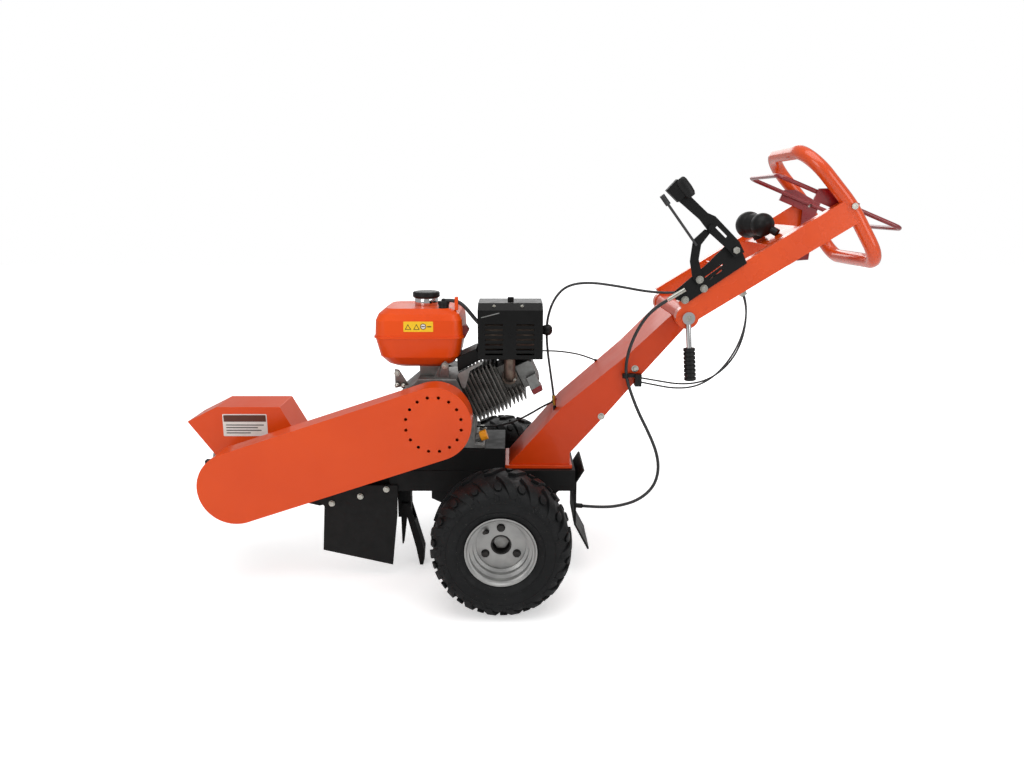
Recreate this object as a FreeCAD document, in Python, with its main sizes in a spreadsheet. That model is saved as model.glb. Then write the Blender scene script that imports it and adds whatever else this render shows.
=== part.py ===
import FreeCAD, Part
import math
import os

# Walk-behind stump grinder, in millimetres, +Z up.
# While it is drawn, X = 0 is the wheel axle, +X runs back to the operator, the ground is
# Z = 0 and Y = 0 is the middle plane, with the belt guard on the -Y side.
# Every piece is then moved along X so that the origin lies under the middle of the machine.

Vector = FreeCAD.Vector

SIZES = [
    ("tyre_od", 390, "16x8-7 tyre, outside diameter"),
    ("tyre_width", 190, "tyre section"),
    ("wheel_track", 570, "between the middles of the tyres"),
    ("rim_width", 160, "over the rim flanges"),
    ("rim_od", 194, "over the rim flanges"),
    ("rim_seat_od", 178, "bead seat of the 7 inch rim"),
    ("rim_sheet", 4, "pressed rim"),
    ("rim_disc_depth", 53, "rim flange to the wheel disc"),
    ("disc_bore", 57, "hole in the wheel disc"),
    ("axle_dia", 25, "wheel axle"),
    ("running_gap", 0.05, "radial clearance of a shaft in its bore"),
    ("loose_gap", 0.3, "clearance between pieces that move past each other"),
    ("stud_circle", 99, "wheel bolt circle"),
    ("frame_half", 100, "half width of the frame"),
    ("frame_bottom", 270, "underside of the frame beams"),
    ("frame_top", 334, "top of the frame beams"),
    ("frame_front", 330, "axle to the front of the frame"),
    ("frame_back", 215, "axle to the back of the frame"),
    ("beam_width", 40, "frame beam"),
    ("deck_top", 401, "engine deck above the ground"),
    ("deck_back", 9, "back end of the engine deck"),
    ("deck_sheet", 5, "bent plate of the deck"),
    ("crank_x", -185, "engine crankshaft"),
    ("crank_z", 508, "engine crankshaft"),
    ("cutter_x", -744, "cutter shaft"),
    ("cutter_z", 323, "cutter shaft"),
    ("tooth_radius", 158, "cutter axis to the tooth tips"),
    ("disc_radius", 138, "cutter wheel"),
    ("disc_thick", 16, "cutter wheel"),
    ("tooth_pairs", 6, "teeth on each side of the cutter wheel"),
    ("cutter_shaft_dia", 30, "cutter shaft"),
    ("crank_dia", 25.4, "engine output shaft"),
    ("guard_radius", 104, "round ends of the belt guard"),
    ("guard_face", 226, "middle plane to the face of the guard"),
    ("guard_depth", 81, "depth of the guard"),
    ("guard_sheet", 2.5, "guard sheet"),
    ("vent_holes", 16, "round holes in the ring on the guard"),
    ("vent_ring", 77, "radius of the ring of holes"),
    ("vent_dia", 9, "each hole"),
    ("pulley_drive", 118, "outside diameter on the crankshaft"),
    ("pulley_driven", 142, "outside diameter on the cutter shaft"),
    ("pulley_width", 44, "two belt grooves"),
    ("pulley_middle", 184, "middle plane to the middle of the pulleys"),
    ("belt_width", 16, "each belt"),
    ("belt_depth", 10, "each belt"),
    ("hood_half", 70, "half width of the cutter hood"),
    ("hood_sheet", 4, "hood sheet"),
    ("arm_plate", 10, "plates that carry the cutter bearings"),
    ("flap_thick", 6, "rubber flap"),
    ("post_width", 40, "square post under the frame"),
    ("post_bottom", 156, "lower end of the post"),
    ("leg_pivot_x", -290, "prop leg pin"),
    ("leg_pivot_z", 196, "prop leg pin"),
    ("column_sheet", 4, "column sheet"),
    ("column_foot_half", 78, "half width of the column at its foot"),
    ("column_top_half", 120, "half width of the column at its top"),
    ("foot_thick", 11, "column foot plate"),
    ("pivot_x", 504, "handle pivot"),
    ("pivot_z", 797, "handle pivot"),
    ("pivot_tube_dia", 56, "cross tube on the column"),
    ("pivot_bolt_dia", 16, "clamp bolt"),
    ("arm_rise", 32, "slope of the handle arm, degrees"),
    ("rail_middle", 168, "middle plane to the middle of a rail"),
    ("rail_width", 30, "rail tube"),
    ("rail_low", -20, "bottom of the rails, from the pivot line"),
    ("rail_high", 50, "top of the rails, from the pivot line"),
    ("rail_wall", 2.5, "rail tube wall"),
    ("boss_radius", 31, "round end of each rail"),
    ("loop_dia", 38, "handle loop tube"),
    ("loop_s", 513.7, "pivot to the loop along the arm"),
    ("bail_rod", 12, "bail rod"),
    ("bail_half", 129, "middle plane to the bail rods"),
    ("tank_front", -365, "front of the tank seam"),
    ("tank_back", -107, "back of the tank seam"),
    ("tank_near", -100, "near side of the tank seam"),
    ("tank_far", 150, "far side of the tank seam"),
    ("tank_seam", 726, "height of the tank seam"),
    ("cylinder_tilt", 25, "cylinder above level, degrees"),
]

doc = FreeCAD.newDocument("stump_grinder")
sheet = doc.addObject("Spreadsheet::Sheet", "sizes")
for row, (alias, number, note) in enumerate(SIZES, 1):
    sheet.set(f"A{row}", alias)
    sheet.set(f"B{row}", str(number))
    sheet.setAlias(f"B{row}", alias)
    sheet.set(f"C{row}", note)
doc.recompute()


class Values:
    """The driving dimensions, read back from the spreadsheet as plain numbers."""

    def __getattr__(self, alias):
        return float(getattr(sheet, alias))


d = Values()
pieces = []


def bound(text):
    """The text of an expression, with each driving dimension's name tied to the sheet."""
    words = text.replace("(", "( ").replace(")", " )").split()
    names = [alias for alias, _, _ in SIZES]
    return " ".join("sizes." + word if word in names else word for word in words)


# ---------------------------------------------------------------- places and frames
def arm_point(s, n):
    """X and Z of a point s along the handle arm and n square above it."""
    slope = math.radians(d.arm_rise)
    x = d.pivot_x + s * math.cos(slope) - n * math.sin(slope)
    z = d.pivot_z + s * math.sin(slope) + n * math.cos(slope)
    return x, z


TUBE = d.loop_dia / 2
HOOD_TIP = (-922.0, 474.0)
BAIL_BACK = (616.0, -109.0)
BAIL_FRONT = (398.0, 192.0)
origin_x = (HOOD_TIP[0] + arm_point(*BAIL_BACK)[0] + d.bail_rod / 2) / 2
GROUND = FreeCAD.Placement(Vector(-origin_x, 0, 0), FreeCAD.Rotation())
ARM = FreeCAD.Placement(
    Vector(d.pivot_x - origin_x, 0, d.pivot_z),
    FreeCAD.Rotation(Vector(0, 1, 0), -d.arm_rise),
)


def keep(thing, label, frame=GROUND):
    """Names a finished sub-part, puts it in its place and lists it for writing."""
    thing.Label = label
    thing.Placement = frame.multiply(thing.Placement)
    pieces.append(thing)
    return thing


# ---------------------------------------------------------------- ways to make a piece
def origin_plane(body, role):
    return next(o for o in body.Origin.OriginFeatures if o.Role == role)


def draw(body, name, plane, outlines, circles=(), lift=0.0):
    """A sketch on one of the body's own planes, of closed outlines and circles."""
    sketch = body.newObject("Sketcher::SketchObject", name)
    sketch.AttachmentSupport = (origin_plane(body, plane), [""])
    sketch.MapMode = "FlatFace"
    sketch.AttachmentOffset = FreeCAD.Placement(Vector(0, 0, lift), FreeCAD.Rotation())
    for outline in outlines:
        corners = [Vector(a, b, 0) for a, b in outline]
        for start, end in zip(corners, corners[1:] + corners[:1]):
            sketch.addGeometry(Part.LineSegment(start, end), False)
    for a, b, radius in circles:
        circle = Part.Circle(Vector(a, b, 0), Vector(0, 0, 1), radius)
        sketch.addGeometry(circle, False)
    return sketch


def add_pad(body, name, outlines, thick, y_near, circles=()):
    """Pads outlines of the X-Z plane from y_near towards +Y; thick is an expression."""
    sketch = draw(body, name + "_outline", "XZ_Plane", outlines, circles, -y_near)
    pad = body.newObject("PartDesign::Pad", name + "_pad")
    pad.Profile = sketch
    pad.setExpression("Length", bound(thick))
    pad.Reversed = True
    sketch.Visibility = False
    return pad


def add_pocket(body, name, outlines, thick, y_near, circles=()):
    """Cuts outlines of the X-Z plane from y_near towards +Y, and checks that it cut."""
    doc.recompute()
    before = body.Shape.Volume
    sketch = draw(body, name + "_outline", "XZ_Plane", outlines, circles, -y_near)
    pocket = body.newObject("PartDesign::Pocket", name + "_pocket")
    pocket.Profile = sketch
    pocket.setExpression("Length", bound(thick))
    pocket.Reversed = False
    doc.recompute()
    if body.Shape.Volume >= before - 1e-6:
        pocket.Reversed = True
        doc.recompute()
    if body.Shape.Volume >= before - 1e-6:
        raise RuntimeError(f"{name} cuts nothing")
    return pocket


def plate(label, outline, thick, y_near, circles=(), frame=GROUND, more=()):
    """A flat plate that stands in the X-Z plane, with round holes."""
    body = doc.addObject("PartDesign::Body", label)
    add_pad(body, label, [outline, *more], thick, y_near, circles)
    return keep(body, label, frame)


def turned(label, profile, x, z, mirror=False, angle=360.0):
    """A ring or disc turned about a line along Y through (x, z), from (radius, y) points."""
    body = doc.addObject("PartDesign::Body", label)
    side = -1.0 if mirror else 1.0
    sketch = draw(body, label + "_section", "XY_Plane", [[(r, side * y) for r, y in profile]])
    turn = body.newObject("PartDesign::Revolution", label + "_turn")
    turn.Profile = sketch
    turn.ReferenceAxis = (origin_plane(body, "Y_Axis"), [""])
    turn.Angle = angle
    return keep(body, label, FreeCAD.Placement(Vector(x - origin_x, 0, z), FreeCAD.Rotation()))


def block(name, length, width, height, corner):
    """A box whose sizes are expressions; corner is its lowest corner."""
    box = doc.addObject("Part::Box", name)
    box.setExpression("Length", bound(length))
    box.setExpression("Width", bound(width))
    box.setExpression("Height", bound(height))
    box.Placement.Base = Vector(*corner)
    return box


def rod(name, radius, height, start, along=(0, 1, 0)):
    """A cylinder whose sizes are expressions, from start along a direction."""
    cylinder = doc.addObject("Part::Cylinder", name)
    cylinder.setExpression("Radius", bound(radius))
    cylinder.setExpression("Height", bound(height))
    turn = FreeCAD.Rotation(Vector(0, 0, 1), Vector(*along))
    cylinder.Placement = FreeCAD.Placement(Vector(*start), turn)
    return cylinder


def joined(name, things):
    fuse = doc.addObject("Part::MultiFuse", name)
    fuse.Shapes = things
    return fuse


def cut_from(name, base, tool):
    cut = doc.addObject("Part::Cut", name)
    cut.Base = base
    cut.Tool = tool
    return cut


def shaped(label, shape, frame=GROUND):
    """A sub-part whose shape is made directly."""
    feature = doc.addObject("Part::Feature", label)
    feature.Shape = shape
    return keep(feature, label, frame)


def group(label, solids, frame=GROUND):
    return shaped(label, Part.makeCompound(solids), frame)


def rounded_path(points, radii, closed=False):
    """A wire of straight runs joined by tangent arcs; one radius for each inner point."""
    points = [Vector(*p) for p in points]
    count = len(points)
    corners = range(count) if closed else range(1, count - 1)
    cuts = {}
    for i in corners:
        before = points[i - 1]
        here = points[i]
        after = points[(i + 1) % count]
        into = (here - before).normalize()
        out = (after - here).normalize()
        turn = into.getAngle(out)
        if turn < 1e-3:
            continue
        reach = radii[i] * math.tan(turn / 2)
        start = here - into * reach
        end = here + out * reach
        inward = (out - into).normalize()
        middle = here + inward * (radii[i] * (1 / math.cos(turn / 2) - 1))
        cuts[i] = (start, middle, end)
    edges = []
    last = range(count) if closed else range(count - 1)
    for i in last:
        j = (i + 1) % count
        start = cuts[i][2] if i in cuts else points[i]
        end = cuts[j][0] if j in cuts else points[j]
        if (end - start).Length > 1e-6:
            edges.append(Part.LineSegment(start, end).toShape())
        if j in cuts:
            edges.append(Part.Arc(*cuts[j]).toShape())
    return Part.Wire(Part.__sortEdges__(edges)) if closed else Part.Wire(edges)


def tube_along(wire, radius, start, direction):
    """A round bar that follows a wire from start."""
    circle = Part.Wire(Part.Circle(start, direction, radius).toShape())
    pipe = wire.makePipeShell([circle], True, False)
    if pipe.Volume < 0:
        pipe.reverse()
    return pipe


def hexagon(flats, height, centre, along=(0, -1, 0)):
    """A six-sided prism, such as a bolt head or nut."""
    corner = flats / math.sqrt(3)
    points = []
    for k in range(7):
        angle = math.radians(60 * k)
        points.append(Vector(corner * math.cos(angle), corner * math.sin(angle), 0))
    prism = Part.Face(Part.makePolygon(points)).extrude(Vector(0, 0, height))
    prism.Placement = FreeCAD.Placement(
        Vector(*centre), FreeCAD.Rotation(Vector(0, 0, 1), Vector(*along))
    )
    return prism


def bolt(place, shank, length, along=(0, -1, 0)):
    """A bolt: hexagon head and washer outside place, shank going in the other way."""
    out = Vector(*along)
    start = Vector(*place)
    washer = Part.makeCylinder(shank * 1.15, 1.5, start, out)
    head = hexagon(shank * 1.7, shank * 0.65, tuple(start + out * 1.5), along)
    if length <= 0:
        return washer.fuse(head).removeSplitter()
    stem = Part.makeCylinder(shank / 2, length, start - out * length, out)
    return washer.fuse([head, stem]).removeSplitter()


def offset_sheet(points, thick):
    """The closed outline of bent sheet: points on one face, thick to their left."""
    inner = []
    for i, (x, z) in enumerate(points):
        normals = []
        for a, b in ((i - 1, i), (i, i + 1)):
            if a < 0 or b >= len(points):
                continue
            dx = points[b][0] - points[a][0]
            dz = points[b][1] - points[a][1]
            size = math.hypot(dx, dz)
            normals.append((-dz / size, dx / size))
        nx = sum(n[0] for n in normals) / len(normals)
        nz = sum(n[1] for n in normals) / len(normals)
        scale = thick / (nx * nx + nz * nz)
        inner.append((x + nx * scale, z + nz * scale))
    return points + inner[::-1]


# ---------------------------------------------------------------- wheels
HALF_TRACK = d.wheel_track / 2
RIM_FACE = HALF_TRACK + d.rim_width / 2
AXLE_Z = d.tyre_od / 2
RIM_R = d.rim_od / 2
SEAT_R = d.rim_seat_od / 2
TYRE_R = d.tyre_od / 2
DISC_Y = RIM_FACE - d.rim_disc_depth
HUB_OUT = DISC_Y - d.rim_sheet
HUB_IN = 240.0
STEP_R = SEAT_R - 9
WELL_R = SEAT_R - 17


def rim_profile():
    """Stepped pressed rim with its disc, as (radius, distance from the middle plane)."""
    out = RIM_FACE
    inside = RIM_FACE - d.rim_width
    skin = [
        (RIM_R, out),
        (RIM_R - 4, out - 4),
        (SEAT_R, out - 6),
        (SEAT_R, out - 24),
        (STEP_R, out - 28),
        (STEP_R, out - 42),
        (WELL_R, out - 46),
        (WELL_R, inside + 36),
        (SEAT_R, inside + 30),
        (SEAT_R, inside + 6),
        (RIM_R - 4, inside + 4),
        (RIM_R, inside),
    ]
    sheet_in = [(r - d.rim_sheet, y) for r, y in skin]
    disc = [
        (WELL_R - d.rim_sheet, DISC_Y - d.rim_sheet),
        (d.disc_bore / 2, DISC_Y - d.rim_sheet),
        (d.disc_bore / 2, DISC_Y),
        (WELL_R - d.rim_sheet, DISC_Y),
    ]
    back = sheet_in[::-1]
    cut = next(i for i, (_, y) in enumerate(back) if y > DISC_Y)
    return skin + back[:cut] + disc + back[cut:]


def tyre_profile():
    """Tyre carcass seated on the rim, with its tread at full radius."""
    half = d.tyre_width / 2
    seat = d.rim_width / 2 - 6
    outer = [
        (SEAT_R, seat),
        (RIM_R + 3, seat + 1),
        (RIM_R + 14, half - 8),
        (RIM_R + 42, half),
        (TYRE_R - 34, half - 1),
        (TYRE_R - 15, half - 9),
        (TYRE_R - 4, half - 27),
        (TYRE_R, half - 46),
    ]
    inner = [
        (TYRE_R - 13, half - 48),
        (TYRE_R - 18, half - 28),
        (TYRE_R - 38, half - 13),
        (RIM_R + 42, half - 11),
        (RIM_R + 18, half - 21),
        (SEAT_R, seat - 18),
    ]
    near = [(r, HALF_TRACK + y) for r, y in outer] + [(r, HALF_TRACK - y) for r, y in outer[::-1]]
    far = [(r, HALF_TRACK - y) for r, y in inner[::-1]] + [(r, HALF_TRACK + y) for r, y in inner]
    return near + far


def make_wheel(side, mirror):
    turned(f"tyre_{side}", tyre_profile(), 0, AXLE_Z, mirror)
    rim = turned(f"rim_{side}", rim_profile(), 0, AXLE_Z, mirror)
    bore = d.axle_dia / 2 + d.running_gap
    hub = [
        (bore, HUB_IN),
        (34, HUB_IN),
        (34, HUB_OUT - 12),
        (63, HUB_OUT - 12),
        (63, HUB_OUT),
        (d.disc_bore / 2 - 0.5, HUB_OUT),
        (d.disc_bore / 2 - 0.5, HUB_OUT + 5),
        (24, HUB_OUT + 5),
        (24, HUB_OUT - 28),
        (bore, HUB_OUT - 28),
    ]
    turned(f"hub_{side}", hub, 0, AXLE_Z, mirror)


make_wheel("near", True)
make_wheel("far", False)


def wheel_bolts(side, sign):
    solids = []
    for k in range(3):
        angle = math.radians(90 + 120 * k)
        x = d.stud_circle / 2 * math.cos(angle)
        z = AXLE_Z + d.stud_circle / 2 * math.sin(angle)
        solids.append(bolt((x, sign * DISC_Y, z), 10, 0, (0, sign, 0)))
    group(f"wheel_bolts_{side}", solids)


wheel_bolts("near", -1)
wheel_bolts("far", 1)


def valve(side, sign):
    """Rubber valve stem that leans out of the rim step."""
    foot = Vector(-38, sign * DISC_Y, AXLE_Z + 38)
    lean = Vector(-0.16, sign * 0.94, 0.3).normalize()
    base = Part.makeCylinder(6.5, 8, foot, lean)
    stem = Part.makeCylinder(4, 34, foot, lean)
    cap = Part.makeCylinder(5, 12, foot + lean * 26, lean)
    slab = Part.makeBox(60, 20, 60, Vector(-68, sign * DISC_Y - 10 - sign * 10, AXLE_Z + 8))
    return shaped(f"valve_{side}", base.fuse([stem, cap]).cut(slab).removeSplitter())


valve("near", -1)
valve("far", 1)

axle_reach = HUB_OUT - 28
keep(rod("axle_bar", "axle_dia / 2", "wheel_track + 2 * 8", (0, -HALF_TRACK - 8, AXLE_Z)), "axle")
group(
    "axle_nuts",
    [
        hexagon(36, 11.6, (0, sign * (axle_reach + d.loose_gap), AXLE_Z), (0, sign, 0)).cut(
            Part.makeCylinder(
                d.axle_dia / 2, 400, Vector(0, -sign * 1, AXLE_Z), Vector(0, sign, 0)
            )
        )
        for sign in (-1, 1)
    ],
)


# ---------------------------------------------------------------- wheel brake
TUBE_END = 180.0
BACKPLATE = 4.0
drum_profile = [
    (34, HUB_IN - 4),
    (56, HUB_IN - 4),
    (56, TUBE_END + BACKPLATE + 0.5),
    (60, TUBE_END + BACKPLATE + 0.5),
    (60, HUB_IN),
    (d.axle_dia / 2 + d.running_gap, HUB_IN),
    (d.axle_dia / 2 + d.running_gap, HUB_IN - 4),
]
turned("brake_drum", drum_profile, 0, AXLE_Z, True)
backplate_profile = [
    (d.axle_dia / 2, TUBE_END),
    (64, TUBE_END),
    (64, TUBE_END + BACKPLATE),
    (d.axle_dia / 2, TUBE_END + BACKPLATE),
]
turned("brake_backplate", backplate_profile, 0, AXLE_Z, True)


def brake_shoe(start_angle):
    """A curved shoe inside the drum, on the backplate."""
    width = 32
    face_y = -(TUBE_END + BACKPLATE)
    outer = Part.makeCylinder(55.5, width, Vector(0, 0, 0), Vector(0, 0, 1), 130)
    inner = Part.makeCylinder(49, width, Vector(0, 0, 0), Vector(0, 0, 1), 130)
    shoe = outer.cut(inner)
    shoe.rotate(Vector(0, 0, 0), Vector(0, 0, 1), start_angle)
    shoe.rotate(Vector(0, 0, 0), Vector(1, 0, 0), 90)
    shoe.translate(Vector(0, face_y, AXLE_Z))
    return shoe


group("brake_shoes", [brake_shoe(25), brake_shoe(205)])

# ---------------------------------------------------------------- frame
FRAME_LENGTH = "frame_front + frame_back"
BEAM_HEIGHT = "frame_top - frame_bottom"
CROSS = 60.0
BEAM_WALL = 4.0
CROSS_STARTS = (-d.frame_front, -90.0, d.frame_back - CROSS)
INNER_HALF = d.frame_half - d.beam_width
beams = [
    block(f"beam_{k}", FRAME_LENGTH, "beam_width", BEAM_HEIGHT, (-d.frame_front, y, d.frame_bottom))
    for k, y in enumerate((-d.frame_half, INNER_HALF))
]
for k, x in enumerate(CROSS_STARTS):
    cross = block(
        f"cross_{k}",
        f"{CROSS}",
        "2 * ( frame_half - beam_width )",
        BEAM_HEIGHT,
        (x, -INNER_HALF, d.frame_bottom),
    )
    beams.append(cross)
hollows = [
    block(
        f"beam_hollow_{k}",
        "frame_front + frame_back + 2",
        f"beam_width - {2 * BEAM_WALL}",
        f"frame_top - frame_bottom - {2 * BEAM_WALL}",
        (-d.frame_front - 1, y + BEAM_WALL, d.frame_bottom + BEAM_WALL),
    )
    for k, y in enumerate((-d.frame_half, INNER_HALF))
]
for k, x in enumerate(CROSS_STARTS):
    hollow = block(
        f"cross_hollow_{k}",
        f"{CROSS - 2 * BEAM_WALL}",
        "2 * ( frame_half - beam_width )",
        f"frame_top - frame_bottom - {BEAM_WALL}",
        (x + BEAM_WALL, -INNER_HALF, d.frame_bottom),
    )
    hollows.append(hollow)
frame_weld = joined("frame_weld", beams)
keep(cut_from("frame_tubes", frame_weld, joined("frame_hollows", hollows)), "main_frame")

deck = [
    block(
        "deck_top_plate",
        "frame_front + deck_back",
        "2 * frame_half",
        "deck_sheet",
        (-d.frame_front, -d.frame_half, d.deck_top - d.deck_sheet),
    )
]
for k, y in enumerate((-d.frame_half, d.frame_half - d.deck_sheet)):
    web = block(
        f"deck_web_{k}",
        "frame_front + deck_back",
        "deck_sheet",
        "deck_top - deck_sheet - frame_top",
        (-d.frame_front, y, d.frame_top),
    )
    deck.append(web)
keep(joined("deck_weld", deck), "engine_deck")

carrier_outline = [
    (-209, d.frame_bottom),
    (-209, 243),
    (-186, 232),
    (-34, AXLE_Z - 30),
    (34, AXLE_Z - 30),
    (140, 245),
    (175, d.frame_bottom),
]
carrier = doc.addObject("PartDesign::Body", "axle_carrier")
CARRIER_Y = 80.0
CARRIER_THICK = 8.0
add_pad(carrier, "carrier_near", [carrier_outline], f"{CARRIER_THICK}", -CARRIER_Y - CARRIER_THICK)
add_pad(carrier, "carrier_tube", [], "360", -TUBE_END, [(0, AXLE_Z, 20)])
add_pad(carrier, "carrier_far", [carrier_outline], f"{CARRIER_THICK}", CARRIER_Y)
add_pocket(carrier, "carrier_bore", [], "360", -TUBE_END, [(0, AXLE_Z, d.axle_dia / 2)])
keep(carrier, "axle_carrier")

STEP_SHEET = 6.0
step_line = [
    (d.frame_back + 24, d.frame_top),
    (d.frame_back, d.frame_top - 40),
    (d.frame_back, 160),
    (d.frame_back + 42, 80),
]
plate("rear_step_plate", offset_sheet(step_line, STEP_SHEET), "2 * frame_half - 20", -d.frame_half + 10)

# ---------------------------------------------------------------- post, spike, prop leg
POST_X = -320.0
half_post = d.post_width / 2
POST_WALL = 4.0
post_outer = block(
    "post_outer",
    "post_width",
    "post_width",
    "frame_bottom - post_bottom",
    (POST_X, -half_post, d.post_bottom),
)
post_hollow = block(
    "post_hollow",
    f"post_width - {2 * POST_WALL}",
    f"post_width - {2 * POST_WALL}",
    f"frame_bottom - post_bottom - {POST_WALL}",
    (POST_X + POST_WALL, -half_post + POST_WALL, d.post_bottom + POST_WALL),
)
LEG_X = d.leg_pivot_x - 7
pin_start = (LEG_X, -half_post - 1, d.leg_pivot_z)
post_pin_hole = rod("post_pin_hole", "5", "post_width + 2", pin_start)
post_tube = cut_from("post_tube", post_outer, post_hollow)
keep(cut_from("post_drilled", post_tube, post_pin_hole), "stand_post")

SPIKE = [(-313, d.post_bottom), (-295, d.post_bottom), (-307, 66), (-310, 62), (-312, 66)]
plate("ground_spike", SPIKE, "20", -10)

CHEEK = 5.0
cheek_near = -half_post - d.loose_gap - CHEEK
leg_outline = [
    (LEG_X - 12, d.leg_pivot_z + 9),
    (LEG_X + 12, d.leg_pivot_z + 9),
    (-262, 120),
    (-243, 48),
    (-247, 0),
    (-257, 0),
    (-268, 60),
    (-290, 150),
]
bar_outline = [(-287, 142), (-268, 142), (-243, 48), (-247, 0), (-257, 0), (-268, 60)]
leg = doc.addObject("PartDesign::Body", "prop_leg")
add_pad(leg, "leg_bar", [bar_outline], "post_width + 2 * loose_gap + 2", cheek_near + CHEEK - 1)
add_pad(leg, "leg_near", [leg_outline], f"{CHEEK}", cheek_near)
add_pad(leg, "leg_far", [leg_outline], f"{CHEEK}", -cheek_near - CHEEK)
leg_bore = [(LEG_X, d.leg_pivot_z, 5 + d.running_gap)]
add_pocket(leg, "leg_bore", [], "80", cheek_near - 1, leg_bore)
keep(leg, "prop_leg")

pin_reach = half_post + d.loose_gap + CHEEK + 1
leg_pin = Part.makeCylinder(
    5, 2 * pin_reach, Vector(LEG_X, -pin_reach, d.leg_pivot_z), Vector(0, 1, 0)
)
pin_heads = [
    Part.makeCylinder(9, 4, Vector(LEG_X, sign * pin_reach, d.leg_pivot_z), Vector(0, sign, 0))
    for sign in (-1, 1)
]
shaped("leg_pin", leg_pin.fuse(pin_heads).removeSplitter())

# ---------------------------------------------------------------- column
FOOT_HALF = d.column_foot_half + 6
foot = block(
    "foot_plate",
    "198",
    "2 * ( column_foot_half + 6 )",
    "foot_thick",
    (d.deck_back, -FOOT_HALF, d.frame_top),
)
keep(foot, "column_foot")
column_bottom = d.frame_top + d.foot_thick


def column_solid(wall):
    """The tapered column, or its inside when wall is more than 0."""
    outline = [
        (20, column_bottom),
        (176, 525),
        (363, 686),
        (474, 796),
        (514, 761),
        (401, 625),
        (287, 484),
        (200, 382),
        (200, column_bottom),
    ]
    points = [Vector(x, 0, z) for x, z in outline]
    face = Part.Face(Part.makePolygon(points + points[:1]))
    if wall:
        face = face.makeOffset2D(-wall, join=2)
    side = face.extrude(Vector(0, 400, 0))
    side.translate(Vector(0, -200, 0))
    top_z = 800.0
    low = d.column_foot_half - wall
    high = d.column_top_half - wall
    front = [
        Vector(-50, -low, column_bottom),
        Vector(-50, low, column_bottom),
        Vector(-50, high, top_z),
        Vector(-50, -high, top_z),
    ]
    taper = Part.Face(Part.makePolygon(front + front[:1])).extrude(Vector(700, 0, 0))
    return side.common(taper)


tube_r = d.pivot_tube_dia / 2
tube_half = d.rail_middle - d.rail_width / 2 - 3
pivot_barrel = Part.makeCylinder(
    tube_r, 2 * tube_half, Vector(d.pivot_x, -tube_half, d.pivot_z), Vector(0, 1, 0)
)
column_shell = column_solid(0).cut(column_solid(d.column_sheet)).cut(pivot_barrel)
biggest = max(column_shell.Solids, key=lambda solid: solid.Volume)
shaped("column", biggest)
pivot_bore = Part.makeCylinder(
    d.pivot_bolt_dia / 2 + d.running_gap,
    2 * tube_half,
    Vector(d.pivot_x, -tube_half, d.pivot_z),
    Vector(0, 1, 0),
)
shaped("pivot_tube", pivot_barrel.cut(pivot_bore))

# ---------------------------------------------------------------- belt guard
GUARD_Y = -d.guard_face
GUARD_BACK = GUARD_Y + d.guard_depth
run_x = d.crank_x - d.cutter_x
run_z = d.crank_z - d.cutter_z
run = math.hypot(run_x, run_z)
across = (-run_z / run, run_x / run)


def slot_parts(radius):
    """Two round ends and the straight part between them, from cutter to crank."""
    corners = []
    for (x, z), sign in (
        ((d.cutter_x, d.cutter_z), 1),
        ((d.crank_x, d.crank_z), 1),
        ((d.crank_x, d.crank_z), -1),
        ((d.cutter_x, d.cutter_z), -1),
    ):
        corners.append((x + sign * radius * across[0], z + sign * radius * across[1]))
    ends = [(d.cutter_x, d.cutter_z, radius), (d.crank_x, d.crank_z, radius)]
    return corners, ends


guard = doc.addObject("PartDesign::Body", "belt_guard")
corners, ends = slot_parts(d.guard_radius)
add_pad(guard, "guard_middle", [corners], "guard_depth", GUARD_Y)
for k, end in enumerate(ends):
    add_pad(guard, f"guard_end_{k}", [], "guard_depth", GUARD_Y, [end])
corners, ends = slot_parts(d.guard_radius - d.guard_sheet)
hollow_y = GUARD_Y + d.guard_sheet
add_pocket(guard, "guard_hollow", [corners], "guard_depth", hollow_y)
for k, end in enumerate(ends):
    add_pocket(guard, f"guard_hollow_{k}", [], "guard_depth", hollow_y, [end])
vents = []
for k in range(int(d.vent_holes)):
    angle = 2 * math.pi * (k + 0.5) / d.vent_holes
    vents.append(
        (
            d.crank_x + d.vent_ring * math.cos(angle),
            d.crank_z + d.vent_ring * math.sin(angle),
            d.vent_dia / 2,
        )
    )
add_pocket(guard, "guard_vents", [], "guard_sheet + 2", GUARD_Y - 1, vents)
keep(guard, "belt_guard")

back = doc.addObject("PartDesign::Body", "guard_back_plate")
BACK_SHEET = 3.0
corners, ends = slot_parts(d.guard_radius)
add_pad(back, "back_middle", [corners], "3", GUARD_BACK)
for k, end in enumerate(ends):
    add_pad(back, f"back_end_{k}", [], "3", GUARD_BACK, [end])
ARM_OUT = d.hood_half + d.arm_plate
posts = [(-640, 300, 10), (-420, 370, 10)]
post_length = -ARM_OUT - (GUARD_BACK + BACK_SHEET)
for k, post in enumerate(posts):
    add_pad(back, f"back_post_{k}", [], f"{post_length}", GUARD_BACK + BACK_SHEET, [post])
holes = [(d.cutter_x, d.cutter_z, 24), (d.crank_x, d.crank_z, 22)]
add_pocket(back, "back_holes", [], "10", GUARD_BACK - 1, holes)
keep(back, "guard_back_plate")


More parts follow.
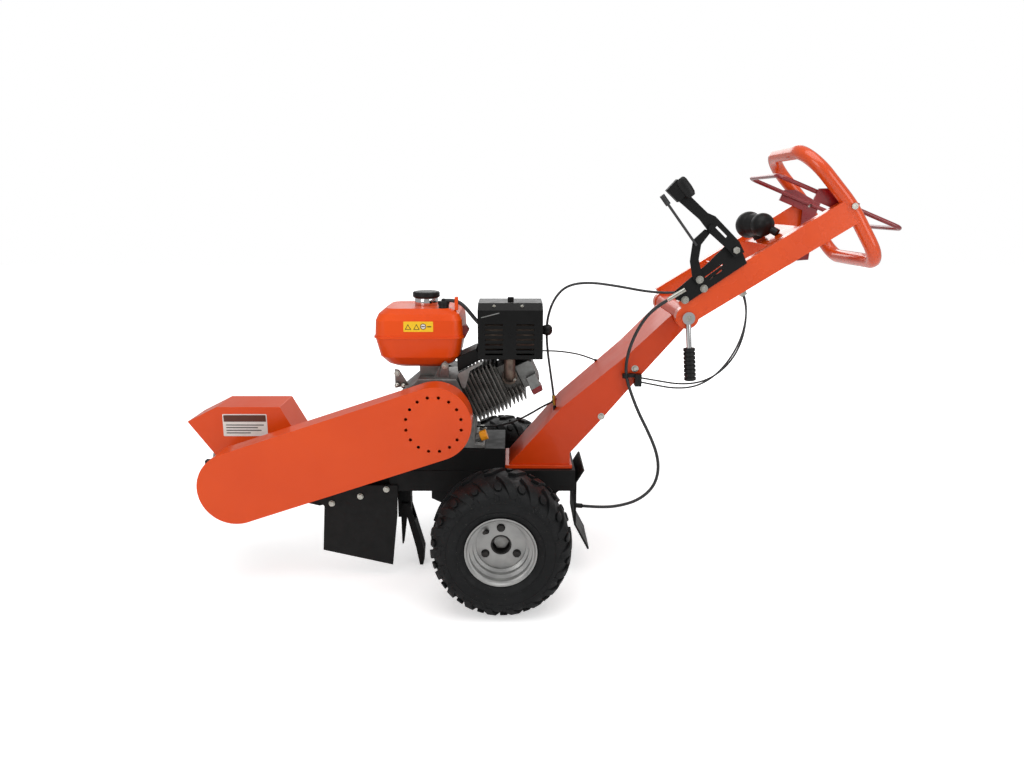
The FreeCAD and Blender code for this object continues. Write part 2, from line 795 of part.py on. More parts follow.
def hull_solid(near_y, width, radius_a, radius_b):
    """A solid as wide as a belt whose outline wraps round both pulleys."""
    a = Vector(d.cutter_x, near_y, d.cutter_z)
    b = Vector(d.crank_x, near_y, d.crank_z)
    line = math.atan2(run_z, run_x)
    lean = math.acos((radius_a - radius_b) / run)
    points = []
    for sign in (1, -1):
        angle = line + sign * lean
        out = Vector(math.cos(angle), 0, math.sin(angle))
        pair = [a + out * radius_a, b + out * radius_b]
        points += pair if sign > 0 else pair[::-1]
    middle = Part.Face(Part.makePolygon(points + points[:1])).extrude(Vector(0, width, 0))
    end_a = Part.makeCylinder(radius_a, width, a, Vector(0, 1, 0))
    end_b = Part.makeCylinder(radius_b, width, b, Vector(0, 1, 0))
    return middle.fuse([end_a, end_b]).removeSplitter()


GROOVE = 10.5
GROOVE_WIDTH = d.belt_width + 0.6
PITCH = 20.0


def pulley_profile(outside, bore):
    """Two square grooves; radii against distance from the pulley's middle."""
    half = d.pulley_width / 2
    radius = outside / 2
    line = [(bore, -half), (radius, -half)]
    for centre in (-PITCH / 2, PITCH / 2):
        line.append((radius, centre - GROOVE_WIDTH / 2))
        line.append((radius - GROOVE, centre - GROOVE_WIDTH / 2))
        line.append((radius - GROOVE, centre + GROOVE_WIDTH / 2))
        line.append((radius, centre + GROOVE_WIDTH / 2))
    line += [(radius, half), (bore, half)]
    return [(r, y - d.pulley_middle) for r, y in line]


turned("drive_pulley", pulley_profile(d.pulley_drive, d.crank_dia / 2), d.crank_x, d.crank_z)
turned(
    "driven_pulley",
    pulley_profile(d.pulley_driven, d.cutter_shaft_dia / 2),
    d.cutter_x,
    d.cutter_z,
)
seat_a = d.pulley_driven / 2 - GROOVE + d.loose_gap
seat_b = d.pulley_drive / 2 - GROOVE + d.loose_gap
belts = []
for centre in (-PITCH / 2, PITCH / 2):
    near_y = -d.pulley_middle + centre - d.belt_width / 2
    outside = hull_solid(near_y, d.belt_width, seat_a + d.belt_depth, seat_b + d.belt_depth)
    belts.append(outside.cut(hull_solid(near_y, d.belt_width, seat_a, seat_b)))
group("drive_belts", belts)

# ---------------------------------------------------------------- cutter
HOOD = [
    HOOD_TIP,
    (-834, 518),
    (-649, 518),
    (-578, 388),
    (-578, 300),
    (-795, 300),
]
HOOD_INNER = [
    (HOOD_TIP[0] + 8, HOOD_TIP[1] - d.hood_sheet),
    (-833, 518 - d.hood_sheet),
    (-652, 518 - d.hood_sheet),
    (-582, 387),
    (-582, 290),
    (-799, 290),
    (-960, 474),
]
hood = doc.addObject("PartDesign::Body", "cutter_hood")
add_pad(hood, "hood_box", [HOOD], "2 * hood_half", -d.hood_half)
add_pocket(
    hood, "hood_inside", [HOOD_INNER], "2 * ( hood_half - hood_sheet )", -d.hood_half + d.hood_sheet
)
hood_holes = [(d.cutter_x, d.cutter_z, 20)]
add_pocket(hood, "hood_holes", [], "2 * hood_half + 2", -d.hood_half - 1, hood_holes)
keep(hood, "cutter_hood")

ARM_OUTLINE = [
    (-d.frame_front, d.frame_bottom),
    (-545, 216),
    (-700, 252),
    (-800, 285),
    (-806, 340),
    (-760, 380),
    (-640, 388),
    (-d.frame_front, d.deck_top),
]
for side, near_y in (("near", -ARM_OUT), ("far", d.hood_half)):
    plate(
        f"cutter_arm_{side}",
        ARM_OUTLINE,
        "arm_plate",
        near_y,
        [(d.cutter_x, d.cutter_z, 18)],
    )

SHAFT_R = d.cutter_shaft_dia / 2
shaft_start = -d.pulley_middle - d.pulley_width / 2 - 2
shaft_end = ARM_OUT + 40
cutter_shaft = Part.makeCylinder(
    SHAFT_R, shaft_end - shaft_start, Vector(d.cutter_x, shaft_start, d.cutter_z), Vector(0, 1, 0)
)
shaped("cutter_shaft", cutter_shaft)

half_disc = d.disc_thick / 2
wheel_profile = [
    (SHAFT_R, -40),
    (34, -40),
    (34, -half_disc),
    (d.disc_radius, -half_disc),
    (d.disc_radius, half_disc),
    (34, half_disc),
    (34, 40),
    (SHAFT_R, 40),
]
turned("cutter_wheel", wheel_profile, d.cutter_x, d.cutter_z)


def tooth(angle, side):
    """A carbide tooth in its holder, bolted to one face of the cutter wheel."""
    holder = Part.makeBox(
        34, 20, d.tooth_radius - 108, Vector(-17, half_disc if side > 0 else -half_disc - 20, 104)
    )
    tip = Part.makeBox(
        10, 26, 20, Vector(-22, half_disc if side > 0 else -half_disc - 26, d.tooth_radius - 20)
    )
    solid = holder.fuse(tip).removeSplitter()
    solid.rotate(Vector(0, 0, 0), Vector(0, 1, 0), angle)
    solid.translate(Vector(d.cutter_x, 0, d.cutter_z))
    return solid


teeth = []
count = int(d.tooth_pairs)
for k in range(count):
    teeth.append(tooth(360 * k / count, 1))
    teeth.append(tooth(360 * (k + 0.5) / count, -1))
group("cutter_teeth", teeth)

BEARING_FLANGE = 14.0


def flange_bearing(sign):
    """A square flange bearing on the outside of a cutter arm."""
    square = Part.makeBox(96, BEARING_FLANGE, 96, Vector(d.cutter_x - 48, 0, d.cutter_z - 48))
    y = ARM_OUT if sign > 0 else -ARM_OUT - BEARING_FLANGE
    square.translate(Vector(0, y, 0))
    ring = Part.makeCylinder(
        40, 32, Vector(d.cutter_x, sign * ARM_OUT, d.cutter_z), Vector(0, sign, 0)
    )
    bore = Part.makeCylinder(
        SHAFT_R + d.running_gap, 400, Vector(d.cutter_x, -200, d.cutter_z), Vector(0, 1, 0)
    )
    return square.fuse(ring).cut(bore).removeSplitter()


group("bearing_blocks", [flange_bearing(-1), flange_bearing(1)])
bearing_bolts = []
for sign in (-1, 1):
    for dx in (-38, 38):
        for dz in (-38, 38):
            place = (d.cutter_x + dx, sign * (ARM_OUT + BEARING_FLANGE), d.cutter_z + dz)
            bearing_bolts.append(bolt(place, 10, 0, (0, sign, 0)))
group("bearing_bolts", bearing_bolts)

# ---------------------------------------------------------------- rubber flap
FLAP_NEAR = -d.frame_half - d.loose_gap - d.flap_thick
FLAP = [
    (-547, 250),
    (-547, 246),
    (-525, 225),
    (-535, 86),
    (-328, 38),
    (-310, 196),
    (-306, 290),
    (-420, 290),
]
FLAP_BOLTS = [(-502, 234), (-417, 256), (-340, 278)]
plate("side_flap", FLAP, "flap_thick", FLAP_NEAR)
flap_bolts = []
for x, z in FLAP_BOLTS:
    spacer = Part.makeCylinder(
        8, d.frame_half + d.loose_gap - ARM_OUT, Vector(x, -ARM_OUT, z), Vector(0, -1, 0)
    )
    head = bolt((x, FLAP_NEAR, z), 8, 0)
    flap_bolts += [spacer, head]
group("flap_bolts", flap_bolts)


# ---------------------------------------------------------------- engine
CYLINDER = FreeCAD.Placement(
    Vector(d.crank_x - origin_x, 0, d.crank_z),
    FreeCAD.Rotation(Vector(0, 1, 0), -d.cylinder_tilt),
)
tilt = math.radians(d.cylinder_tilt)


def cylinder_point(t, p):
    """X and Z of a point t along the cylinder's line and p square above it."""
    x = d.crank_x + t * math.cos(tilt) - p * math.sin(tilt)
    z = d.crank_z + t * math.sin(tilt) + p * math.cos(tilt)
    return x, z


CASE_NEAR = -98.0
CASE_FAR = 90.0
CASE_END = 92.0
CASE_HALF = 66.0
case_low = cylinder_point(CASE_END, -CASE_HALF)
case_high = cylinder_point(CASE_END, CASE_HALF)
CASE = [
    (-296, d.deck_top),
    (-78, d.deck_top),
    (-78, 470),
    case_low,
    case_high,
    (-240, case_high[1]),
    (-296, 560),
]
FEET = [(-318, d.deck_top), (-50, d.deck_top), (-50, d.deck_top + 12), (-318, d.deck_top + 12)]
case = doc.addObject("PartDesign::Body", "crankcase")
CASE_WIDTH = f"{CASE_FAR - CASE_NEAR}"
add_pad(case, "case_block", [CASE], CASE_WIDTH, CASE_NEAR)
add_pad(case, "case_feet", [FEET], CASE_WIDTH, CASE_NEAR)
add_pad(case, "case_cover", [], "6", CASE_NEAR - 6, [(d.crank_x, d.crank_z, 82)])
crank_hole = [(d.crank_x, d.crank_z, d.crank_dia / 2 + d.running_gap)]
add_pocket(case, "case_bore", [], "300", CASE_NEAR - 10, crank_hole)
keep(case, "crankcase")

FEET_TOP = d.deck_top + 12
engine_bolts = []
for x, y in ((-308.5, -80), (-308.5, 74), (-62, -48), (-62, 74)):
    engine_bolts.append(bolt((x, y, FEET_TOP), 10, 0, (0, 0, 1)))
group("engine_bolts", engine_bolts)

SHROUD_R = 105.0
SHROUD_END = 180.0
FLYWHEEL_END = 170.0
crank_start = -d.pulley_middle - d.pulley_width / 2 - 2
crankshaft = Part.makeCylinder(
    d.crank_dia / 2,
    FLYWHEEL_END + 4 - crank_start,
    Vector(d.crank_x, crank_start, d.crank_z),
    Vector(0, 1, 0),
)
shaped("crankshaft", crankshaft)
flywheel_profile = [
    (d.crank_dia / 2, FLYWHEEL_END - 40),
    (60, FLYWHEEL_END - 40),
    (60, FLYWHEEL_END - 12),
    (96, FLYWHEEL_END - 12),
    (96, FLYWHEEL_END),
    (d.crank_dia / 2, FLYWHEEL_END),
]
turned("flywheel", flywheel_profile, d.crank_x, d.crank_z)
shroud_profile = [
    (SHROUD_R - 3, CASE_FAR),
    (SHROUD_R, CASE_FAR),
    (SHROUD_R, SHROUD_END),
    (SHROUD_R - 3, SHROUD_END),
]
turned("fan_shroud", shroud_profile, d.crank_x, d.crank_z)
recoil_profile = [
    (0, SHROUD_END + 34),
    (48, SHROUD_END + 34),
    (72, SHROUD_END + 28),
    (92, SHROUD_END + 16),
    (SHROUD_R, SHROUD_END),
    (SHROUD_R - 3, SHROUD_END),
    (89, SHROUD_END + 13),
    (70, SHROUD_END + 25),
    (48, SHROUD_END + 31),
    (0, SHROUD_END + 31),
]
turned("recoil_housing", recoil_profile, d.crank_x, d.crank_z)

GRIP_Y = SHROUD_END + 34 + d.loose_gap + 10
grip_bar = Part.makeCylinder(9, 84, Vector(d.crank_x - 72, GRIP_Y, d.crank_z + 34), Vector(1, 0, 0))
grip_neck = Part.makeCylinder(
    6, 10, Vector(d.crank_x - 30, GRIP_Y - 10, d.crank_z + 34), Vector(0, 1, 0)
)
shaped("starter_grip", grip_bar.fuse(grip_neck).removeSplitter())

# cylinder block, head and valve cover, drawn along the cylinder's own line
CORE_NEAR = -70.0
CORE_FAR = 60.0
HEAD_START = 206.0
HEAD_END = 252.0
barrel = doc.addObject("PartDesign::Body", "cylinder")
core = [(CASE_END, -58), (HEAD_START, -58), (HEAD_START, 50), (CASE_END, 50)]
add_pad(barrel, "barrel_core", [core], "130", CORE_NEAR)
fins = []
FIN_PITCH = 12.0
FIN = 3.5
position = CASE_END + 8
while position + FIN < HEAD_START:
    fins.append(
        [(position, -76), (position + FIN, -76), (position + FIN, 66), (position, 66)]
    )
    position += FIN_PITCH
add_pad(barrel, "barrel_fins", fins, "166", CORE_NEAR - 24)
keep(barrel, "cylinder", CYLINDER)

head = doc.addObject("PartDesign::Body", "cylinder_head")
PORT_FACE = -48.0
head_block = [(HEAD_START, -58), (HEAD_END, -58), (HEAD_END, 40), (HEAD_START, 40)]
add_pad(head, "head_block", [head_block], f"{CORE_FAR - PORT_FACE}", PORT_FACE)
head_fins = []
position = HEAD_START + 4
while position + FIN < HEAD_END:
    head_fins.append(
        [(position, -74), (position + FIN, -74), (position + FIN, -30), (position, -30)]
    )
    position += FIN_PITCH
add_pad(head, "head_fins", head_fins, "150", CORE_NEAR - 14)
keep(head, "cylinder_head", CYLINDER)
COVER_END = 306.0
cover = [(HEAD_END, -52), (COVER_END - 8, -52), (COVER_END, -44), (COVER_END, 12), (COVER_END - 8, 20)]
cover.append((HEAD_END, 20))
plate("valve_cover", cover, "92", -40, (), CYLINDER)

# exhaust
MUFFLER_NEAR = -105.0
MUFFLER_FAR = 48.0
MUFFLER_LEFT = -67.0
MUFFLER_RIGHT = 117.0
MUFFLER_LOW = 666.0
MUFFLER_HIGH = 822.0
MUFFLER_SHEET = 2.5
muffler_r = 56.0
MUFFLER_MIDDLE = (-32.0, 738.0)
muffler_length = MUFFLER_RIGHT - MUFFLER_LEFT - 2 * MUFFLER_SHEET
muffler = Part.makeCylinder(
    muffler_r,
    muffler_length,
    Vector(MUFFLER_LEFT + MUFFLER_SHEET, *MUFFLER_MIDDLE),
    Vector(1, 0, 0),
)
port_x, port_z = cylinder_point(229, 0)
PIPE_R = 16.0
pipe_y = PORT_FACE - 24
muffler_hollow = Part.makeCylinder(
    muffler_r - MUFFLER_SHEET,
    muffler_length - 2 * MUFFLER_SHEET,
    Vector(MUFFLER_LEFT + 2 * MUFFLER_SHEET, *MUFFLER_MIDDLE),
    Vector(1, 0, 0),
)
muffler_inlet = Part.makeCylinder(PIPE_R - 3, 60, Vector(port_x, pipe_y, 670))
shaped("muffler", muffler.cut([muffler_hollow, muffler_inlet]))
pipe_points = [(port_x, PORT_FACE, port_z), (port_x, pipe_y, port_z), (port_x, pipe_y, 730)]
pipe_wire = rounded_path(pipe_points, [0, 20, 0])
pipe = tube_along(pipe_wire, PIPE_R, Vector(*pipe_points[0]), Vector(0, -1, 0))
port_flange = Part.makeCylinder(22.5, 7, Vector(port_x, PORT_FACE, port_z), Vector(0, -1, 0))
shaped("exhaust_pipe", pipe.fuse(port_flange).cut(muffler).removeSplitter())


def muffler_case(inset):
    """Box round the muffler with a sloping top edge, open below; inset gives its inside."""
    left = MUFFLER_LEFT + inset
    right = MUFFLER_RIGHT - inset
    low = MUFFLER_LOW if inset == 0 else MUFFLER_LOW - 10
    near = MUFFLER_NEAR + inset
    far = MUFFLER_FAR - inset
    outline = [
        Vector(left, near, low),
        Vector(left, far, low),
        Vector(left, far, MUFFLER_HIGH - inset),
        Vector(left, near + 40, MUFFLER_HIGH - inset),
        Vector(left, near, MUFFLER_HIGH - 16 - inset),
    ]
    return Part.Face(Part.makePolygon(outline + outline[:1])).extrude(Vector(right - left, 0, 0))


louvres = []
for column in (-46.0, 42.0):
    for k in range(7):
        slot = Part.makeBox(50, 20, 5, Vector(column, MUFFLER_NEAR - 5, MUFFLER_LOW + 12 + 14 * k))
        louvres.append(slot)
muffler_guard = muffler_case(0).cut(muffler_case(MUFFLER_SHEET)).cut(louvres)
shaped("muffler_guard", muffler_guard)
guard_knob = Part.makeCylinder(9, 12, Vector(26, -20, MUFFLER_HIGH), Vector(0, 0, 1))
guard_screws = [
    Part.makeCylinder(5, 3, Vector(25, MUFFLER_NEAR, 736), Vector(0, -1, 0)),
    guard_knob,
]
group("muffler_screws", guard_screws)

# air filter and carburettor on the far side of the head
CARB_NEAR = CORE_FAR
CARB_FAR = 112.0
carb_x, carb_z = cylinder_point(228, 0)
carb_body = Part.makeCylinder(
    20, CARB_FAR - CARB_NEAR, Vector(carb_x, CARB_NEAR, carb_z), Vector(0, 1, 0)
)
carb_bowl = Part.makeCylinder(17.5, 44, Vector(carb_x, 90, carb_z - 52), Vector(0, 0, 1))
shaped("carburettor", carb_body.fuse(carb_bowl).removeSplitter())
CLEANER_LOW = 640.0
filter_box = Part.makeBox(150, 112, 158, Vector(-42, 76, CLEANER_LOW))
filter_box = filter_box.makeFillet(16, filter_box.Edges)
filter_duct = Part.makeBox(50, 34, 90, Vector(carb_x - 25, CARB_FAR, carb_z - 25))
shaped("air_cleaner", filter_box.fuse(filter_duct).removeSplitter())


def rounded_rectangle(x0, x1, y0, y1, z, radius):
    """A level rounded rectangle, as a wire."""
    corners = [(x1, y0), (x1, y1), (x0, y1), (x0, y0)]
    points = [(x, y, z) for x, y in corners]
    return rounded_path(points, [radius] * 4, True)


def tank_solid(shrink):
    """Tank body through level sections: height, inset from the seam, corner radius."""
    sections = [
        (636, 52, 34),
        (645, 34, 40),
        (668, 14, 44),
        (d.tank_seam, 3, 34),
        (d.tank_seam + 48, 6, 30),
        (d.tank_seam + 66, 14, 30),
        (d.tank_seam + 80, 34, 30),
    ]
    wires = []
    for k, (z, inset, radius) in enumerate(sections):
        if k == 0:
            z += shrink
        if k == len(sections) - 1:
            z -= shrink
        inset += shrink
        wires.append(
            rounded_rectangle(
                d.tank_front + inset,
                d.tank_back - inset,
                d.tank_near + inset,
                d.tank_far - inset,
                z,
                radius - shrink,
            )
        )
    return Part.makeLoft(wires, True, True)


TANK_TOP = d.tank_seam + 80
NECK_HEIGHT = 22.0
CAP_X = -222.0
CAP_Y = 20.0
tank_seam_rim = Part.Face(
    rounded_rectangle(d.tank_front, d.tank_back, d.tank_near, d.tank_far, d.tank_seam - 2, 36)
).extrude(Vector(0, 0, 5))
tank_neck = Part.makeCylinder(28, NECK_HEIGHT, Vector(CAP_X, CAP_Y, TANK_TOP), Vector(0, 0, 1))
tank = tank_solid(0).fuse([tank_seam_rim, tank_neck]).cut(tank_solid(2.5)).removeSplitter()
shaped("fuel_tank", tank)
cap_z = TANK_TOP + NECK_HEIGHT + d.loose_gap
cap_disc = Part.makeCylinder(39.5, 18, Vector(CAP_X, CAP_Y, cap_z), Vector(0, 0, 1))
cap_disc = cap_disc.makeFillet(5, cap_disc.Edges[:1] + cap_disc.Edges[2:3])
shaped("fuel_cap", cap_disc)

case_top = case_high[1]
BRACKET_TOP = 636.0
bracket_plates = []
for y in (-40.0, 86.0):
    bracket_plates.append(
        block(
            f"tank_bracket_{int(y)}",
            "70",
            "4",
            f"{BRACKET_TOP - case_top}",
            (-240, y, case_top),
        )
    )
keep(joined("tank_bracket_pair", bracket_plates), "tank_bracket")

# oil filler on the near side of the crankcase, leaning up to the back
FILLER_Y = -82.0
filler_start = Vector(-78, FILLER_Y, 428)
filler_way = Vector(0.94, 0, 0.34).normalize()
filler_neck = Part.makeCylinder(12, 24, filler_start - filler_way * 8, filler_way)
filler_neck = filler_neck.cut(Part.makeBox(60, 60, 80, Vector(-138, FILLER_Y - 30, 390)))
shaped("oil_filler", filler_neck)
cap_start = filler_start + filler_way * (16 + d.loose_gap)
oil_cap = Part.makeCylinder(15, 20, cap_start, filler_way)
shaped("oil_cap", oil_cap)

# ---------------------------------------------------------------- handle arm
# Places on the arm are (s, n): s along it from the pivot, n square above it.
RAIL_IN = d.rail_middle - d.rail_width / 2
RAIL_OUT = d.rail_middle + d.rail_width / 2
LOOP_LOW = (510.7, -147.0)
LOOP_BEND = (d.loop_s, 25.7)
LOOP_TOP = (482.0, 213.0)


def loop_wire():
    """Centre line of the handle loop, near side first."""
    y = d.rail_middle
    points = [
        (LOOP_LOW[0], -y, LOOP_LOW[1]),
        (LOOP_BEND[0], -y, LOOP_BEND[1]),
        (LOOP_TOP[0], -y, LOOP_TOP[1]),
        (LOOP_TOP[0], y, LOOP_TOP[1]),
        (LOOP_BEND[0], y, LOOP_BEND[1]),
        (LOOP_LOW[0], y, LOOP_LOW[1]),
    ]
    return rounded_path(points, [60, 400, 85, 85, 400, 60], True)


wire = loop_wire()
first = wire.Edges[0]
loop_start = first.valueAt(first.FirstParameter)
loop_solid = tube_along(wire, TUBE, loop_start, first.tangentAt(first.FirstParameter))
PIN_R = 5.0
pin_holes = [
    Part.makeCylinder(
        PIN_R, 60, Vector(LOOP_BEND[0], sign * (RAIL_IN - 20), LOOP_BEND[1]), Vector(0, sign, 0)
    )
    for sign in (-1, 1)
]
shaped("handle_loop", loop_solid.cut(pin_holes), ARM)


def rail(side, sign):
    """A rail tube with a round boss at the pivot, coped to the handle loop."""
    y = RAIL_IN if sign > 0 else -RAIL_OUT
    height = d.rail_high - d.rail_low
    tube = Part.makeBox(LOOP_BEND[0], d.rail_width, height, Vector(0, y, d.rail_low))
    boss = Part.makeCylinder(d.boss_radius, d.rail_width, Vector(0, y, 0), Vector(0, 1, 0))
    wall = d.rail_wall
    inside = Part.makeBox(
        LOOP_BEND[0], d.rail_width - 2 * wall, height - 2 * wall, Vector(38, y + wall, d.rail_low + wall)
    )
    bore = Part.makeCylinder(d.pivot_bolt_dia / 2, 200, Vector(0, y - 50, 0), Vector(0, 1, 0))
    shape = tube.fuse(boss).cut([inside, bore, loop_solid]).removeSplitter()
    biggest_piece = max(shape.Solids, key=lambda solid: solid.Volume)
    return shaped(f"rail_{side}", biggest_piece, ARM)


rail("near", -1)
rail("far", 1)
cross_plates = [
    Part.makeBox(5, 2 * RAIL_IN, 60, Vector(168, -RAIL_IN, -14)),
    Part.makeBox(96, 2 * RAIL_IN, 5, Vector(296, -RAIL_IN, 34)),
]
group("rail_braces", cross_plates, ARM)

bolt_half = RAIL_OUT + 18
clamp_bolt = Part.makeCylinder(
    d.pivot_bolt_dia / 2, 2 * bolt_half - 6, Vector(0, -bolt_half, 0), Vector(0, 1, 0)
)
clamp_nut = hexagon(30, 11, (0, RAIL_OUT, 0), (0, 1, 0)).cut(clamp_bolt)
group("clamp_bolt", [clamp_bolt, clamp_nut], ARM)

LEVER_GRIP_R = 16.0
hub_y = -RAIL_OUT - d.loose_gap - 18
hub = Part.makeCylinder(17, 18, Vector(0, hub_y, 0), Vector(0, 1, 0))
hub = hub.cut(
    Part.makeCylinder(
        d.pivot_bolt_dia / 2 + d.running_gap, 18 - 2, Vector(0, hub_y + 2, 0), Vector(0, 1, 0)
    )
)
hub = hub.cut(
    Part.makeCylinder(d.pivot_bolt_dia / 2 + d.running_gap, 18, Vector(0, hub_y, 0), Vector(0, 1, 0))
)
lever_way = Vector(0.07, -0.04, -1).normalize()
lever_start = Vector(0, hub_y + 9, 0) + lever_way * 15
stalk = Part.makeCylinder(7, 66, lever_start, lever_way)
UPRIGHT = FreeCAD.Placement(Vector(d.pivot_x - origin_x, 0, d.pivot_z), FreeCAD.Rotation())
shaped("clamp_lever", hub.fuse(stalk).removeSplitter(), UPRIGHT)
grip_start = lever_start + lever_way * 66
grip = Part.makeCylinder(LEVER_GRIP_R - 3, 90, grip_start, lever_way)
ribs = []
for k in range(8):
    rib_start = grip_start + lever_way * (1 + 11.4 * k)
    ribs.append(Part.makeCylinder(LEVER_GRIP_R, 7.5, rib_start, lever_way))
shaped("clamp_grip", grip.fuse(ribs).removeSplitter(), UPRIGHT)

# ---------------------------------------------------------------- bail
BAIL_Y = 132.0
PLATE_IN = 137.0
PLATE_THICK = 6.0
bail_points = [
    (BAIL_FRONT[0], -BAIL_Y, BAIL_FRONT[1]),
    (BAIL_BACK[0], -BAIL_Y, BAIL_BACK[1]),
    (BAIL_BACK[0], BAIL_Y, BAIL_BACK[1]),
    (BAIL_FRONT[0], BAIL_Y, BAIL_FRONT[1]),
]
bail_wire = rounded_path(bail_points, [24, 24, 24, 24], True)
first = bail_wire.Edges[0]
bail_loop = tube_along(
    bail_wire, d.bail_rod / 2, first.valueAt(first.FirstParameter), first.tangentAt(first.FirstParameter)
)
bail_way = Vector(BAIL_BACK[0] - BAIL_FRONT[0], 0, BAIL_BACK[1] - BAIL_FRONT[1]).normalize()
bail_side = Vector(-bail_way.z, 0, bail_way.x)
pivot = Vector(LOOP_BEND[0], 0, LOOP_BEND[1])


def bail_plate(sign):
    """A side plate of the bail, round its pivot pin."""
    y = sign * PLATE_IN if sign > 0 else -PLATE_IN - PLATE_THICK
    corners = []
    for along, across_it in ((-92, -20), (28, -20), (28, 18), (-60, 26), (-92, 12)):
        corners.append(pivot + bail_way * along + bail_side * across_it + Vector(0, y, 0))
    flat = Part.Face(Part.makePolygon(corners + corners[:1])).extrude(Vector(0, PLATE_THICK, 0))
    bore = Part.makeCylinder(
        PIN_R + d.running_gap, 400, Vector(pivot.x, -200, pivot.z), Vector(0, 1, 0)
    )
    return flat.cut(bore)


CRANK_ARM = [(500, 40), (405, -100), (436, -116), (530, 10)]
crank_corners = [Vector(s, PLATE_IN, n) for s, n in CRANK_ARM]
crank_arm = Part.Face(Part.makePolygon(crank_corners + crank_corners[:1])).extrude(
    Vector(0, PLATE_THICK, 0)
)
pin_bore = Part.makeCylinder(
    PIN_R + d.running_gap, 400, Vector(pivot.x, -200, pivot.z), Vector(0, 1, 0)
)
bail = bail_loop.fuse([bail_plate(-1), bail_plate(1), crank_arm]).cut(pin_bore).removeSplitter()
shaped("bail", bail, ARM)
bail_pins = []
for sign in (-1, 1):
    start = Vector(pivot.x, sign * (PLATE_IN + 0.5), pivot.z)
    shank = Part.makeCylinder(PIN_R, d.rail_middle + TUBE - PLATE_IN, start, Vector(0, sign, 0))
    head = hexagon(16, 6, (pivot.x, sign * (d.rail_middle + TUBE), pivot.z), (0, sign, 0))
    bail_pins.append(shank.fuse(head).removeSplitter())
group("bail_pins", bail_pins, ARM)

# ---------------------------------------------------------------- brake lever
BRACKET_SHEET = 5.0
bracket_y = -RAIL_OUT - BRACKET_SHEET
BRACKET = [(17, 36), (205, 44), (212, 112), (190, 118), (110, 98), (5, 81), (-4, 60)]
bracket = doc.addObject("PartDesign::Body", "brake_bracket")
add_pad(bracket, "bracket_plate", [BRACKET], "5", bracket_y)
slots = [
    [(92, 69), (150, 74), (150, 77), (92, 72)],
    [(98, 58), (140, 62), (140, 65), (98, 61)],
]
add_pocket(bracket, "bracket_slots", slots, "7", bracket_y - 1)
keep(bracket, "brake_bracket", ARM)
QUADRANT = [
    (66, 62),
    (62, 88),
    (78, 130),
    (112, 174),
    (152, 182),
    (164, 168),
    (124, 152),
    (100, 122),
    (90, 88),
    (88, 62),
]
QUADRANT_SHEET = 6.0
quadrant_y = bracket_y - QUADRANT_SHEET
plate("brake_quadrant", QUADRANT, "6", quadrant_y, (), ARM)
LEVER_PIVOT = (194.0, 92.0)
LEVER = [
    (127, 284),
    (117, 321),
    (147, 329),
    (157, 287),
    (177, 216),
    (190, 198),
    (212, 108),
    (210, 76),
    (182, 76),
    (178, 100),
    (157, 166),
    (151, 212),
]
LEVER_SHEET = 6.0
lever_y = quadrant_y - d.loose_gap - LEVER_SHEET
lever = doc.addObject("PartDesign::Body", "brake_lever")
add_pad(lever, "lever_plate", [LEVER], "6", lever_y)
HEAD_BLOCK = [(124, 281), (113, 323), (150, 333), (160, 287)]
add_pad(lever, "lever_head", [HEAD_BLOCK], "24", lever_y - 9)
hub_depth = bracket_y - d.loose_gap - lever_y
add_pad(lever, "lever_hub", [], f"{hub_depth}", lever_y, [(*LEVER_PIVOT, 13)])
slot = [(176, 172), (186, 134), (192, 136), (182, 174)]
add_pocket(lever, "lever_slot", [slot], "8", lever_y - 1)
lever_bore = [(*LEVER_PIVOT, PIN_R + d.running_gap)]
add_pocket(lever, "lever_bore", [], "20", lever_y - 1, lever_bore)
keep(lever, "brake_lever", ARM)
lever_pin = Part.makeCylinder(
    PIN_R,
    bracket_y - lever_y + d.loose_gap,
    Vector(LEVER_PIVOT[0], bracket_y, LEVER_PIVOT[1]),
    Vector(0, -1, 0),
)
lever_pin_head = hexagon(17, 6, (LEVER_PIVOT[0], lever_y - d.loose_gap, LEVER_PIVOT[1]))
bracket_bolts = [lever_pin.fuse(lever_pin_head).removeSplitter()]
for s, n, y in ((17, 46, bracket_y), (75, 46, bracket_y), (76, 74, quadrant_y)):
    bracket_bolts.append(bolt((s, y, n), 9, 0))
group("bracket_bolts", bracket_bolts, ARM)
lever_bolt = bolt((166, lever_y, 178), 9, 0)
shaped("lever_bolt", lever_bolt, ARM)

ROD_LOW = Vector(112, quadrant_y - d.loose_gap - 4, 158)
ROD_HIGH = Vector(98, quadrant_y - d.loose_gap - 4, 318)
rod_way = (ROD_HIGH - ROD_LOW).normalize()
rod_length = (ROD_HIGH - ROD_LOW).Length
release = Part.makeCylinder(3.5, rod_length - 10, ROD_LOW, rod_way)
release_tip = Part.makeCylinder(7, 30, ROD_HIGH - rod_way * 30, rod_way)
shaped("release_rod", release.fuse(release_tip).removeSplitter(), ARM)

